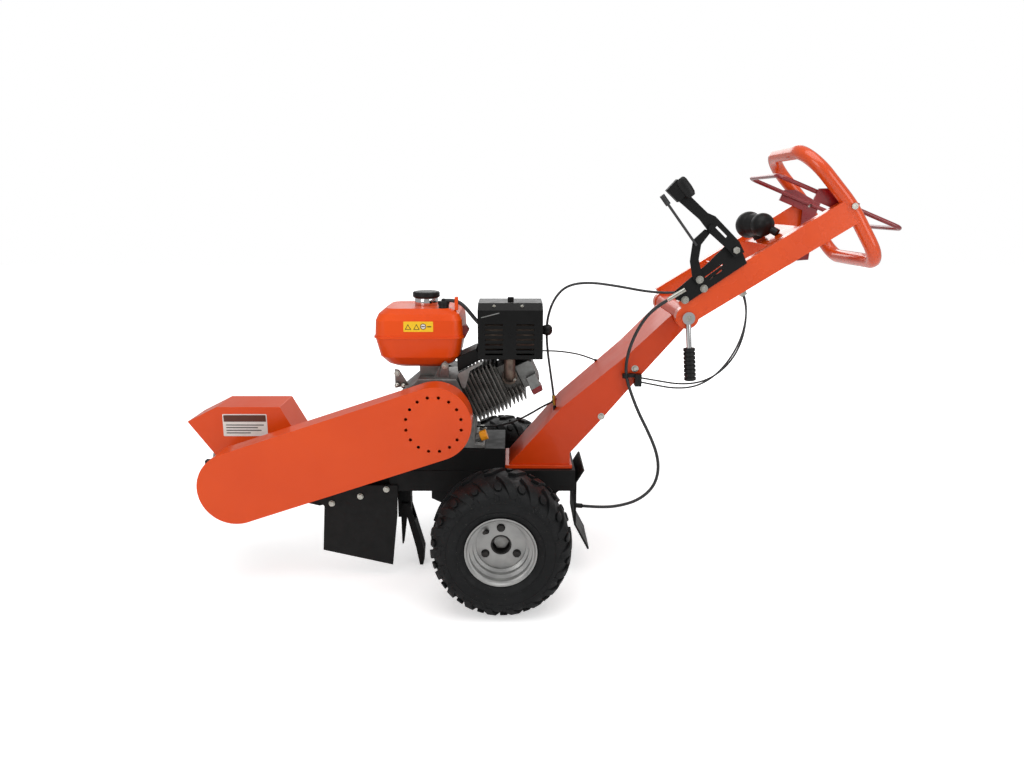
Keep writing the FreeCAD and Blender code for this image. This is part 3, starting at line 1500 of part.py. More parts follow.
# ---------------------------------------------------------------- throttle grip
SHELF_TOP = 39.0
grip_axis = Vector(0.3, -0.94, -0.16).normalize()
grip_far = Vector(300, 66, SHELF_TOP + 56)
far_lobe = Part.makeSphere(38, grip_far + grip_axis * 30)
waist = Part.makeCone(35, 28, 44, grip_far + grip_axis * 34, grip_axis)
near_lobe = Part.makeSphere(33, grip_far + grip_axis * 92)
grip_end = grip_far + grip_axis * 92
POST_HEIGHT = 6.0
grip_turn = (grip_far.x + 14, grip_far.y - 46)
below_grip = Part.makeBox(
    400, 400, 200, Vector(100, -200, SHELF_TOP + POST_HEIGHT + d.loose_gap - 200)
)
below_ferrule = Part.makeBox(400, 400, 200, Vector(100, -200, SHELF_TOP + d.loose_gap - 200))
grip_boss = Part.makeCylinder(17, 40, Vector(*grip_turn, SHELF_TOP))
throttle = far_lobe.fuse([waist, near_lobe, grip_boss]).cut(below_grip).removeSplitter()
shaped("throttle_grip", throttle, ARM)
grip_post = Part.makeCylinder(14, POST_HEIGHT, Vector(*grip_turn, SHELF_TOP))
shaped("grip_post", grip_post, ARM)
ferrule_way = Vector(0.35, -0.6, -0.72).normalize()
ferrule_start = grip_end + ferrule_way * 25
ferrule = Part.makeCylinder(11, 26, ferrule_start, ferrule_way)
shaped("grip_ferrule", ferrule.cut([throttle, below_ferrule]).removeSplitter(), ARM)

# ---------------------------------------------------------------- control cables
# Each route is a list of points; straight runs are joined by the widest arcs that fit.
THROTTLE_DIA = 7.0
THROTTLE_ROUTE = [
    (566.2, -168, 903.1),
    (524.2, -168, 878.0),
    (474.0, -161, 860.0),
    (400.0, -140, 862.0),
    (318.0, -116, 876.0),
    (240.0, -92, 884.0),
    (182.0, -74, 872.0),
    (149.0, -62, 834.0),
    (132.0, -52, 782.0),
    (129.0, -45, 732.0),
    (134.0, -38, 672.0),
    (144.0, -33, 604.0),
    (152.5, -30, 547.0),
    (156.0, -30, 512.0),
]
CHOKE_DIA = 5.0
CHOKE_ROUTE = [(108, 95, 655), (152, 95.5, 655), (203, 97, 650), (250, 99, 640), (286, 100, 625)]
BRAKE_DIA = 9.0
BRAKE_ROUTE = [
    (445.5, -194.2, 845.3),
    (409.0, -191, 822.0),
    (379.0, -166, 774.0),
    (359.0, -141, 715.0),
    (350.5, -126, 664.0),
    (352.0, -117.5, 622.0),
    (367.0, -116.5, 574.0),
    (392.0, -116, 513.0),
    (424.0, -114, 452.0),
    (450.0, -111, 392.0),
    (459.0, -107, 336.0),
    (446.0, -103, 283.0),
    (405.0, -97, 241.0),
    (347.0, -90, 219.0),
    (290.0, -84, 213.0),
    (240.0, -80, 216.0),
]
STRAND_DIA = 5.0
STRAND_ROUTES = [
    [
        (656.2, -162, 854.9),
        (667.0, -160, 830.0),
        (671.0, -156, 778.0),
        (663.0, -150, 720.0),
        (640.0, -143, 668.0),
        (603.0, -137, 628.0),
        (556.0, -131, 604.0),
        (500.0, -124, 599.0),
        (446.0, -118, 607.0),
        (396.0, -114, 615.0),
    ],
    [
        (656.2, -173, 854.9),
        (665.0, -172, 831.0),
        (666.0, -168, 775.0),
        (652.0, -161, 716.0),
        (623.0, -153, 660.0),
        (584.0, -146, 617.0),
        (538.0, -139, 593.0),
        (484.0, -132, 589.0),
        (434.0, -125, 597.0),
        (396.0, -121, 604.0),
    ],
]
ENGINE_DIA = 6.0
ENGINE_ROUTE = [
    (154.8, 50, 504.5),
    (128.0, 50, 492.0),
    (84.0, 49, 465.0),
    (38.0, 46, 442.0),
    (-10.0, 43, 430.5),
    (-48.0, 41, 428.0),
    (-78.0, 40, 428.6),
]


def cable_run(route, diameter):
    """A tube along a route, the length of its middle line and its tightest arc."""
    points = [Vector(*p) for p in route]
    radii = [0.0] * len(points)
    for i in range(1, len(points) - 1):
        into = points[i] - points[i - 1]
        out = points[i + 1] - points[i]
        turn = into.getAngle(out)
        radii[i] = 0.45 * min(into.Length, out.Length) / math.tan(turn / 2)
    path = rounded_path(route, radii)
    tube = tube_along(path, diameter / 2, points[0], points[1] - points[0])
    return tube, path.Length, min(radii[1:-1])


def cord(label, routes, diameter):
    """Tubes along hand-chosen routes; prints each one's length, tightest arc and error."""
    tubes = []
    for route in routes:
        tube, length, tightest = cable_run(route, diameter)
        error = abs(tube.Volume) / (math.pi * (diameter / 2) ** 2 * length) - 1
        print(f"{label}: length {length:.0f}, tightest {tightest:.0f}, volume {error:+.4f}")
        tubes.append(tube)
    if len(tubes) == 1:
        return shaped(label, tubes[0])
    return group(label, tubes)


cord("throttle_cable", [THROTTLE_ROUTE], THROTTLE_DIA)
cord("choke_cable", [CHOKE_ROUTE], CHOKE_DIA)
cord("brake_cable", [BRAKE_ROUTE], BRAKE_DIA)
cord("control_strands", STRAND_ROUTES, STRAND_DIA)
cord("engine_cable", [ENGINE_ROUTE], ENGINE_DIA)


def gland(end, before, radius, length, host=None):
    """A ferrule that takes a cable's end, trimmed to the face it is fixed on."""
    end = Vector(*end)
    way = (end - Vector(*before)).normalize()
    body = Part.makeCylinder(radius, length, end, way)
    if host:
        body = body.cut(host)
        body = min(body.Solids, key=lambda solid: (solid.CenterOfMass - end).Length)
    return body


column_block = column_solid(0)
step_block = Part.makeBox(200, 400, 400, Vector(d.frame_back + STEP_SHEET - 200, -200, 0))
chassis_glands = [
    gland(THROTTLE_ROUTE[-1], THROTTLE_ROUTE[-2], 5, 30, column_block),
    gland(CHOKE_ROUTE[-1], CHOKE_ROUTE[-2], 4.5, 30, column_block),
    gland(BRAKE_ROUTE[-1], BRAKE_ROUTE[-2], 7, 40, step_block),
    gland(ENGINE_ROUTE[0], ENGINE_ROUTE[1], 5, 30, column_block),
]
clip_block = Part.makeBox(18, 30, 34, Vector(378, -126, 592)).cut(column_block)
clip_hoop = Part.makeCylinder(9, 12, Vector(350, -117.5, 628), Vector(0.08, 0.02, -1))
clip_bore = cable_run(BRAKE_ROUTE, BRAKE_DIA + 2 * d.loose_gap)[0]
clip_foot = Part.makeBox(26, 16, 10, Vector(354, -118, 617))
brake_clip = clip_hoop.fuse(clip_foot).cut([clip_bore, column_block]).removeSplitter()
chassis_glands += [clip_block, max(brake_clip.Solids, key=lambda solid: solid.Volume)]
group("cable_glands", chassis_glands)

adjuster_y = bracket_y - d.loose_gap - 6
adjuster = Part.makeCylinder(6, 52, Vector(-22, adjuster_y, 72), Vector(1, 0, 0))
rail_gland = Part.makeBox(14, 22, 14, Vector(110, -179, d.rail_high))
strand_gland = Part.makeBox(16, 26, 10, Vector(152, -181, d.rail_low - 10))
group("arm_glands", [adjuster, rail_gland, strand_gland], ARM)

# ---------------------------------------------------------------- pieces that share a file
SHARED = {
    "wheel_hub_near": ["hub_near", "wheel_bolts_near", "valve_near", "brake_drum"],
    "wheel_hub_far": ["hub_far", "wheel_bolts_far", "valve_far"],
    "axle_shaft": ["axle", "axle_nuts"],
    "brake_plate": ["brake_backplate", "brake_shoes"],
    "chassis_frame": ["main_frame", "engine_deck"],
    "front_stand": ["stand_post", "ground_spike", "leg_pin"],
    "handle_column": ["column", "column_foot", "pivot_tube"],
    "cutter_arms": ["cutter_arm_near", "cutter_arm_far"],
    "frame_bolts": ["bearing_bolts", "flap_bolts", "engine_bolts"],
    "exhaust_guard": ["muffler_guard", "muffler_screws"],
    "engine_block": ["crankcase", "oil_filler"],
    "recoil_starter": ["fan_shroud", "recoil_housing"],
    "arm_rails": ["rail_near", "rail_far"],
    "arm_shelf": ["rail_braces", "grip_post"],
    "brake_handle": ["brake_lever", "lever_bolt"],
    "brake_mount": ["brake_bracket", "brake_quadrant"],
    "arm_bolts": ["bail_pins", "bracket_bolts", "clamp_bolt"],
    "exhaust": ["muffler", "exhaust_pipe"],
    "crank_and_flywheel": ["crankshaft", "flywheel"],
    "throttle_handgrip": ["throttle_grip", "grip_ferrule"],
}
doc.recompute()
for label, members in SHARED.items():
    links = [piece for piece in pieces if piece.Label in members]
    for link in links:
        pieces.remove(link)
    bundle = doc.addObject("Part::Compound", label)
    bundle.Links = links
    bundle.Label = label
    pieces.append(bundle)

# ---------------------------------------------------------------- checks and files
doc.recompute()
for thing in doc.Objects:
    if "Invalid" in thing.State or "Error" in thing.State:
        raise RuntimeError(f"{thing.Name} failed: {thing.State}")
os.makedirs("parts", exist_ok=True)
for piece in pieces:
    if piece.Shape.isNull() or not piece.Shape.isValid():
        raise RuntimeError(f"{piece.Label} has no sound shape")
    piece.Shape.exportStep(f"parts/{piece.Label}.step")
print(len(pieces), "pieces written")
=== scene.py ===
# %% [markdown]
# # Walk-behind stump grinder
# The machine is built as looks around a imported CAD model, in metres. The CAD pieces stay where
# they are. Some are shown with a material, some are replaced by a rounder or more detailed copy.

# %% Start
import math

import bmesh
import bpy
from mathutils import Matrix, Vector
from mathutils.bvhtree import BVHTree


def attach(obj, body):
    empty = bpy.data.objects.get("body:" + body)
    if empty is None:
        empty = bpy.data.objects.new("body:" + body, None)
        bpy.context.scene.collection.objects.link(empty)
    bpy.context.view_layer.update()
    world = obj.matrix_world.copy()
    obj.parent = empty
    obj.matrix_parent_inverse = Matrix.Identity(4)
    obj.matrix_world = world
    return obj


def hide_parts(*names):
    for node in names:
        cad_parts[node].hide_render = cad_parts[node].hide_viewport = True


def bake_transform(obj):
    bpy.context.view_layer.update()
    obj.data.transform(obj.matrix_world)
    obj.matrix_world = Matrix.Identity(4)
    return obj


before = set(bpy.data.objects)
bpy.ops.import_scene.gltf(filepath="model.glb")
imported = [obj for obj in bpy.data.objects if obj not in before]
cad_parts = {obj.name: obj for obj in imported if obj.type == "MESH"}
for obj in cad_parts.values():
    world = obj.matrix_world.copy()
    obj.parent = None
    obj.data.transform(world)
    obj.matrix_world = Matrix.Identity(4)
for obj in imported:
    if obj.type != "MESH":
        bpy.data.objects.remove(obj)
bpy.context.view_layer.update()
MM = 0.001
MIDDLE_X = 84.08  # the drawing's X of the machine's middle, in mm

# %% [markdown]
# ## Camera
# It stands beside the belt guard, a little above the engine, and looks slightly down. The whole
# machine is in view from there, with its controls on the right and the cutter on the left.

# %% Camera
camera_data = bpy.data.cameras.new("camera")
camera_data.lens = 28.125
camera_data.sensor_width = 36
camera = bpy.data.objects.new("camera", camera_data)
bpy.context.scene.collection.objects.link(camera)
camera.location = (-0.0544, -2.3315, 1.101)
camera.rotation_euler = (math.radians(77.2), 0, 0)
bpy.context.scene.camera = camera
print("camera at", tuple(round(v, 3) for v in camera.location))

# %% [markdown]
# ## Helpers
# Each helper makes one kind of thing: a node in a material, a mesh object, a tube, a block.


# %% Helpers for materials
def rgb(text):
    """A linear, opaque colour from an sRGB hex text."""
    parts = [int(text[i:i + 2], 16) / 255 for i in (1, 3, 5)]
    linear = [c / 12.92 if c <= 0.04045 else ((c + 0.055) / 1.055) ** 2.4 for c in parts]
    return (*linear, 1.0)


def add_node(tree, kind, inputs=(), links=(), **settings):
    """Adds a node, sets its settings and input values, and links sockets into it."""
    node = tree.nodes.new(kind)
    for key, value in settings.items():
        setattr(node, key, value)
    for key, value in dict(inputs).items():
        node.inputs[key].default_value = value
    for key, socket in dict(links).items():
        tree.links.new(socket, node.inputs[key])
    return node


def noise(tree, place, period_mm, detail=3.0, roughness=0.5):
    """Noise whose features are period_mm apart, in object coordinates."""
    settings = {"Scale": 1 / (period_mm * MM), "Detail": detail, "Roughness": roughness}
    return add_node(tree, "ShaderNodeTexNoise", settings, {"Vector": place}).outputs["Fac"]


def spread(tree, value, low, high, to_low, to_high):
    """Maps a value from one range to another."""
    ends = {"From Min": low, "From Max": high, "To Min": to_low, "To Max": to_high}
    return add_node(tree, "ShaderNodeMapRange", ends, {"Value": value}).outputs["Result"]


def mixed(tree, factor, first, second):
    """A colour between two colours or sockets."""
    node = add_node(tree, "ShaderNodeMix", data_type="RGBA")
    tree.links.new(factor, node.inputs["Factor"])
    for name, value in (("A", first), ("B", second)):
        socket = next(s for s in node.inputs if s.name == name and s.type == "RGBA")
        if isinstance(value, tuple):
            socket.default_value = value
        else:
            tree.links.new(value, socket)
    return next(s for s in node.outputs if s.type == "RGBA")


def finish_of(
    name, colour, second, blotch_mm, rough, grain_mm, bump, metal=0.0, coat=0.0, dust=0.0, shine=0.5
):
    """A finish: two colours in blotches, a spread of roughness, fine grain as bump, and dust."""
    material = bpy.data.materials.new(name)
    material.use_nodes = True
    material.diffuse_color = rgb(colour)
    tree = material.node_tree
    shader = tree.nodes["Principled BSDF"]
    place = add_node(tree, "ShaderNodeTexCoord").outputs["Object"]
    blotch = spread(tree, noise(tree, place, blotch_mm), 0.35, 0.65, 0.0, 1.0)
    base = mixed(tree, blotch, rgb(colour), rgb(second))
    if dust:
        specks = noise(tree, place, 5, 6.0, 0.8)
        patches = noise(tree, place, 70, 2.0)
        amount = spread(tree, specks, 0.64, 0.70, 0.0, 1.0)
        where = spread(tree, patches, 0.4, 0.6, 0.0, dust)
        both = add_node(tree, "ShaderNodeMath", operation="MULTIPLY")
        tree.links.new(amount, both.inputs[0])
        tree.links.new(where, both.inputs[1])
        base = mixed(tree, both.outputs[0], base, rgb("#9A958C"))
    tree.links.new(base, shader.inputs["Base Color"])
    smear = noise(tree, place, blotch_mm / 3, 4.0)
    tree.links.new(spread(tree, smear, 0.3, 0.7, rough[0], rough[1]), shader.inputs["Roughness"])
    shader.inputs["Metallic"].default_value = metal
    shader.inputs["Specular IOR Level"].default_value = shine
    shader.inputs["Coat Weight"].default_value = coat
    shader.inputs["Coat Roughness"].default_value = 0.06
    grain = noise(tree, place, grain_mm, 2.0)
    height = {"Strength": 1.0, "Distance": bump * MM}
    relief = add_node(tree, "ShaderNodeBump", height, {"Height": grain})
    tree.links.new(relief.outputs["Normal"], shader.inputs["Normal"])
    return material


# %% Helpers for shapes
def mesh_object(name, bm, material, body, bevel=0.0, angle=30):
    """Turns a bmesh into a piece that rides on a body."""
    bmesh.ops.recalc_face_normals(bm, faces=bm.faces)
    mesh = bpy.data.meshes.new(name)
    bm.to_mesh(mesh)
    bm.free()
    piece = bpy.data.objects.new(name, mesh)
    bpy.context.scene.collection.objects.link(piece)
    mesh.materials.append(material)
    mesh.shade_smooth()
    mesh.set_sharp_from_angle(angle=math.radians(angle))
    if bevel:
        rounding = piece.modifiers.new("rounding", "BEVEL")
        rounding.width = bevel * MM
        rounding.segments = 2
        rounding.limit_method = "ANGLE"
        rounding.angle_limit = math.radians(angle)
        rounding.harden_normals = True
    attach(piece, body)
    return piece


def at(x, y, z):
    """A point of the drawing, in mm from the axle, as a place in the row frame."""
    return Vector(((x - MIDDLE_X) * MM, y * MM, z * MM))


WELD = 0.00002  # corners nearer than this, in metres, are one
FLAT = math.radians(0.6)  # faces that meet at less than this are one


def rounded(node, body, material, bevel):
    """A copy of a CAD piece with small rounded edges, which stands for it."""
    bm = bmesh.new()
    bm.from_mesh(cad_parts[node].data)
    bmesh.ops.remove_doubles(bm, verts=bm.verts, dist=WELD)
    bmesh.ops.dissolve_limit(bm, angle_limit=FLAT, verts=bm.verts, edges=bm.edges)
    piece = mesh_object(node + "_rounded", bm, material, body, bevel)
    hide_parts(node)
    return piece


def ring_of(centre, normal, radius, sides, turn=0.0):
    """Points of a circle round a centre."""
    normal = Vector(normal).normalized()
    side = normal.orthogonal().normalized()
    other = normal.cross(side)
    points = []
    for k in range(sides):
        angle = turn + 2 * math.pi * k / sides
        points.append(centre + (side * math.cos(angle) + other * math.sin(angle)) * radius)
    return points


def strip(bm, first, second):
    """The faces between two rings of corners."""
    count = len(first)
    for k in range(count):
        bm.faces.new((first[k], first[(k + 1) % count], second[(k + 1) % count], second[k]))


def skin(bm, rings):
    """Joins rings of points into a surface, with end caps."""
    rows = [[bm.verts.new(p) for p in ring] for ring in rings]
    for first, second in zip(rows, rows[1:]):
        strip(bm, first, second)
    bm.faces.new(rows[0][::-1])
    bm.faces.new(rows[-1])


def wrap(bm, rings):
    """Joins rings of points into a surface that closes on itself, like a hoop."""
    rows = [[bm.verts.new(p) for p in ring] for ring in rings]
    for first, second in zip(rows, rows[1:] + rows[:1]):
        strip(bm, first, second)


def lathe(bm, start, along, profile, sides=32):
    """A turned solid: profile holds (distance along, radius), in mm."""
    along = Vector(along).normalized()
    rings = [ring_of(start + along * (t * MM), along, r * MM, sides) for t, r in profile]
    skin(bm, rings)


def smooth_line(points):
    """The points of a NURBS curve through a route, as a list of vectors."""
    data = bpy.data.curves.new("route", "CURVE")
    data.dimensions = "3D"
    data.resolution_u = 12
    spline = data.splines.new("NURBS")
    spline.points.add(len(points) - 1)
    for target, point in zip(spline.points, points):
        target.co = (*point, 1)
    spline.order_u = 3
    spline.use_endpoint_u = True
    holder = bpy.data.objects.new("route", data)
    bpy.context.scene.collection.objects.link(holder)
    line = bpy.data.meshes.new_from_object(holder)
    found = [v.co.copy() for v in line.vertices]
    bpy.data.objects.remove(holder)
    bpy.data.curves.remove(data)
    bpy.data.meshes.remove(line)
    return found


def tube(bm, line, radius, sides=14):
    """A tube of a radius in metres along a line, without twist."""
    ways = []
    for k, point in enumerate(line):
        before = line[max(k - 1, 0)]
        after = line[min(k + 1, len(line) - 1)]
        ways.append((after - before).normalized())
    side = ways[0].orthogonal().normalized()
    rings = []
    for point, way in zip(line, ways):
        side = (side - way * side.dot(way)).normalized()
        other = way.cross(side)
        ring = []
        for k in range(sides):
            angle = 2 * math.pi * k / sides
            ring.append(point + (side * math.cos(angle) + other * math.sin(angle)) * radius)
        rings.append(ring)
    skin(bm, rings)


def brick(bm, low, high):
    """A box from its lowest to its highest corner."""
    low, high = Vector(low), Vector(high)
    for vert in bmesh.ops.create_cube(bm, size=1.0)["verts"]:
        vert.co = Vector([(low[i] + high[i]) / 2 + vert.co[i] * (high[i] - low[i]) for i in range(3)])


def slab(bm, outline, thickness, way):
    """A flat plate with an outline of points, given depth along a direction, in metres."""
    bottom = [bm.verts.new(p) for p in outline]
    top = [bm.verts.new(Vector(p) + Vector(way) * thickness) for p in outline]
    bm.faces.new(bottom[::-1])
    bm.faces.new(top)
    for k in range(len(outline)):
        following = (k + 1) % len(outline)
        bm.faces.new((bottom[k], bottom[following], top[following], top[k]))


WASHER_SHARE = 0.78  # a washer's radius over the width of its head
WASHER_THICK = 1.2  # in mm
CHAMFER = 0.8  # how high the sloped top of a head is, in mm


def bolt_head(bm, centre, way, size, height):
    """A hexagon head with a washer under it, in mm; centre is on the face."""
    way = Vector(way).normalized()
    washer = size * WASHER_SHARE
    lathe(bm, centre, way, [(0, washer), (WASHER_THICK, washer)], 20)
    profile = [(1.0, size / 2), (height, size / 2), (height + CHAMFER, size * 0.42)]
    lathe(bm, centre, way, profile, 6)


# %% [markdown]
# ## Finishes
# Paint and powder coat are thin films with an uneven gloss, rubber is dull and holds dust, and
# metals differ by how they were worked. Image textures would need unwrapped pieces. One recipe
# in object coordinates does for all: two near colours in blotches, a spread of roughness and a
# fine grain, each at its real size.

# %% Finishes
# glossy orange paint of the guards, with faint waves in it
GUARD_PAINT = finish_of(
    "guard_paint", "#E24C0A", "#DC4708", 260,
    (0.34, 0.44), 2.2, 0.03, coat=0.25, shine=0.3,
)
# the same paint as the guards, made darker on the folded column as painted shade
SHADED_FRAME_PAINT = finish_of(
    "frame_paint", "#CE3E06", "#C73A05", 200,
    (0.34, 0.44), 2.2, 0.03, coat=0.2, shine=0.3,
)
# wet-looking paint of the bent tubes
HANDLE_PAINT = finish_of(
    "handle_paint", "#E24E10", "#DA480C", 160,
    (0.22, 0.32), 2.5, 0.02, coat=0.6, shine=0.4,
)
# enamel of the pressed fuel tank
TANK_PAINT = finish_of(
    "tank_paint", "#E84E06", "#E04804", 180,
    (0.3, 0.4), 3.0, 0.02, coat=0.2, shine=0.25,
)
# dark red paint of the bent rods
BAIL_PAINT = finish_of("bail_paint", "#8E141B", "#7A1018", 60, (0.25, 0.35), 1.6, 0.03, coat=0.6)
# textured black powder coat
BLACK_COAT = finish_of("black_coat", "#0C0C0C", "#101010", 90, (0.45, 0.6), 0.9, 0.09, shine=0.22)
# smoother black enamel of the covers round the engine
BLACK_ENAMEL = finish_of(
    "black_enamel", "#080808", "#0B0B0B", 90,
    (0.3, 0.42), 1.4, 0.04, coat=0.05, shine=0.2,
)
# silver paint of the wheels, a little uneven
RIM_PAINT = finish_of("rim_paint", "#A9A9A7", "#9C9C9B", 40, (0.32, 0.45), 1.0, 0.03, metal=0.75)
# machined steel
STEEL = finish_of("steel", "#8C8C8A", "#7C7B78", 20, (0.28, 0.42), 0.6, 0.03, metal=1.0)
# bright zinc on bolts and nuts
ZINC = finish_of("zinc", "#C4C3BC", "#B2B0A6", 8, (0.22, 0.36), 0.5, 0.03, metal=1.0)
# chrome plate on the clamp lever
CHROME = finish_of("chrome", "#DADADA", "#D2D2D2", 30, (0.05, 0.10), 4.0, 0.005, metal=1.0)
# grey cast iron
CAST_IRON = finish_of("cast_iron", "#33312F", "#262423", 15, (0.5, 0.7), 0.9, 0.15, metal=0.4)
# sand cast aluminium of the engine block
ALUMINIUM = finish_of("aluminium", "#8F908E", "#7B7B79", 22, (0.38, 0.55), 1.1, 0.12, metal=0.85)
# darker aluminium on the whole finned cylinder and head, as painted shade between the fins
SHADED_FIN_METAL = finish_of("shaded_fin_aluminium", "#6E6C69", "#4E4B48", 30, (0.35, 0.5), 1.3, 0.10, metal=0.85)
# heat stained steel of the exhaust
EXHAUST_STEEL = finish_of("exhaust_steel", "#77695E", "#5A4E48", 16, (0.42, 0.6), 0.8, 0.08, metal=0.8)
# dark carbide tips
CARBIDE = finish_of("carbide", "#3A3A3C", "#2C2C2E", 6, (0.3, 0.5), 0.5, 0.06, metal=0.9)
# tyre rubber with light dust specks
TYRE_RUBBER = finish_of(
    "tyre_rubber", "#0E0F10", "#131415", 45,
    (0.45, 0.65), 1.2, 0.10, dust=0.9, shine=0.22,
)
# soft black rubber of the flap and the belts
RUBBER = finish_of("rubber", "#101010", "#151515", 50, (0.5, 0.65), 1.1, 0.08, dust=0.15, shine=0.25)
# grained black moulding
BLACK_PLASTIC = finish_of("black_plastic", "#0F0F0F", "#141414", 30, (0.38, 0.5), 0.8, 0.08, shine=0.3)
# shinier black moulding of the air cleaner
GLOSS_PLASTIC = finish_of(
    "gloss_black_plastic", "#0B0B0B", "#0F0F0F", 70,
    (0.2, 0.3), 2.0, 0.03, shine=0.35,
)
# yellow moulding of the oil cap
YELLOW_PLASTIC = finish_of("yellow_plastic", "#F5A31A", "#ED9712", 12, (0.3, 0.42), 0.8, 0.05)
# black cable sheath
CABLE_SHEATH = finish_of("cable_sheath", "#2A2B2C", "#333435", 25, (0.3, 0.42), 0.8, 0.03, shine=0.35)
# dark paint of the thin rods
DARK_ROD = finish_of("dark_rod", "#3A3A3B", "#303031", 20, (0.35, 0.45), 0.8, 0.03, shine=0.4)
# brass of the cable adjusters
BRASS = finish_of("brass", "#B08A3C", "#9C7A34", 6, (0.28, 0.4), 0.5, 0.03, metal=1.0)
# printed yellow vinyl
YELLOW_VINYL = finish_of("yellow_vinyl", "#F6C81E", "#F2C218", 15, (0.3, 0.4), 1.5, 0.01)
# printed white vinyl
WHITE_VINYL = finish_of("white_vinyl", "#E9E7E2", "#E2DFD8", 15, (0.35, 0.45), 1.5, 0.01)
# brown print
BROWN_INK = finish_of("brown_print", "#5A2A16", "#522512", 10, (0.35, 0.45), 1.5, 0.01)
# black print
BLACK_INK = finish_of("black_print", "#141414", "#191919", 10, (0.35, 0.45), 1.5, 0.01)
# dark red moulding
RED_PLASTIC = finish_of("red_plastic", "#7E1A1C", "#6C1416", 12, (0.3, 0.42), 0.8, 0.05)
print("finishes:", len(bpy.data.materials))

# %% [markdown]
# ## Cables
# A control cable is a wire in a stiff sheath, which hangs in one wide bend. Straight tubes end
# to end would show their corners, so each cable is a tube on a smooth spline, on the route of
# its CAD tube. Those that cross the tilting handle are left without a body.

# %% Cables
THROTTLE_ROUTE = [
    (566.2, -168, 903.1), (524.2, -168, 878.0), (474.0, -161, 860.0), (400.0, -140, 862.0),
    (318.0, -116, 876.0), (240.0, -92, 884.0), (182.0, -74, 872.0), (149.0, -62, 834.0),
    (132.0, -52, 782.0), (129.0, -45, 732.0), (134.0, -38, 672.0), (144.0, -33, 604.0),
    (152.5, -30, 547.0), (156.0, -30, 512.0),
]
CHOKE_ROUTE = [(108, 95, 655), (152, 95.5, 655), (203, 97, 650), (250, 99, 640), (286, 100, 625)]
BRAKE_ROUTE = [
    (445.5, -194.2, 845.3), (409.0, -191, 822.0), (379.0, -166, 774.0), (359.0, -141, 715.0),
    (350.5, -126, 664.0), (352.0, -117.5, 622.0), (367.0, -116.5, 574.0), (392.0, -116, 513.0),
    (424.0, -114, 452.0), (450.0, -111, 392.0), (459.0, -107, 336.0), (446.0, -103, 283.0),
    (405.0, -97, 241.0), (347.0, -90, 219.0), (290.0, -84, 213.0), (240.0, -80, 216.0),
]
STRAND_ROUTES = [
    [
        (656.2, -162, 854.9), (667.0, -160, 830.0), (671.0, -156, 778.0), (663.0, -150, 720.0),
        (640.0, -143, 668.0), (603.0, -137, 628.0), (556.0, -131, 604.0), (500.0, -124, 599.0),
        (446.0, -118, 607.0), (396.0, -114, 615.0),
    ],
    [
        (656.2, -173, 854.9), (665.0, -172, 831.0), (666.0, -168, 775.0), (652.0, -161, 716.0),
        (623.0, -153, 660.0), (584.0, -146, 617.0), (538.0, -139, 593.0), (484.0, -132, 589.0),
        (434.0, -125, 597.0), (396.0, -121, 604.0),
    ],
]
ENGINE_ROUTE = [
    (154.8, 50, 504.5), (128.0, 50, 492.0), (84.0, 49, 465.0), (38.0, 46, 442.0),
    (-10.0, 43, 430.5), (-48.0, 41, 428.0), (-78.0, 40, 428.6),
]


def cable(name, route, diameter_mm, node=None, crossing=None):
    """A cable along a route; when crossing is given, the cable is left without a body, and the points in
    crossing are not used.
    """
    points = [at(*p) for p in route]
    line = smooth_line(points)
    bm = bmesh.new()
    tube(bm, line, diameter_mm * MM / 2)
    bmesh.ops.recalc_face_normals(bm, faces=bm.faces)
    mesh = bpy.data.meshes.new(name)
    bm.to_mesh(mesh)
    bm.free()
    mesh.shade_smooth()
    mesh.materials.append(CABLE_SHEATH)
    piece = bpy.data.objects.new(name, mesh)
    bpy.context.scene.collection.objects.link(piece)
    if crossing:
        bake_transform(piece)
    else:
        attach(piece, "chassis")
    if node:
        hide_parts(node)
    return piece


throttle_ends = (THROTTLE_ROUTE[-1], THROTTLE_ROUTE[0])
cable("throttle_cable_smooth", THROTTLE_ROUTE, 7, "throttle_cable", throttle_ends)
cable("choke_cable_smooth", CHOKE_ROUTE, 5, "choke_cable")
CLIP_POINT = 5  # place in the brake cable's route where the column's clip holds it
brake_ends = (BRAKE_ROUTE[CLIP_POINT], BRAKE_ROUTE[0])
cable("brake_cable_smooth", BRAKE_ROUTE, 9, "brake_cable", brake_ends)
for number, (route, length) in enumerate(zip(STRAND_ROUTES, (463, 459))):
    strand = cable(f"control_strand_{number}", route, 5, None, (route[-1], route[0]))
    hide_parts("control_strands")
cable("engine_cable_smooth", ENGINE_ROUTE, 6, "engine_cable")
print("cables: throttle, choke, brake, engine and", len(STRAND_ROUTES), "strands")

# %% [markdown]
# ## Wheels
# A balloon tyre has a moulded carcass, chevron blocks over the shoulders and lugs down its
# sides. A torus would lose the flat crown and the square shoulders, so the carcass is a section
# carried round the axle. The blocks are real ones, since they show at the tyre's outline.

# %% Tyres
AXLE_Z = 195.0
TYRE_MIDDLE = 285.0


def on_wheel(side, radius, angle, offset):
    """A place on the wheel: offset runs from its middle plane out of the machine, in mm."""
    x = radius * math.cos(angle)
    z = radius * math.sin(angle)
    return at(x, side * (TYRE_MIDDLE + offset), AXLE_Z + z)


CARCASS = [
    (89, 74), (94, 75.5), (99, 77), (104, 81.5), (110, 87), (122, 92.5), (138, 94.5), (152, 93),
    (164, 88), (173, 79), (179, 67), (182.5, 50), (184.5, 28), (185.5, 0),
]  # radius and offset of one half of the section, from the bead to the crown
BEAD = [(86, -70), (86, 70)]  # the inner edge, where the tyre sits on its rim
SIDE_RINGS = [(117, 91.0, 1.6), (146, 94.0, 1.2)]  # radius, offset and thickness of moulded rings
RING_SIDES = 6
TURNS = 96  # how many flats stand for one turn of the carcass
PITCHES = 18  # how often the tread repeats in one turn


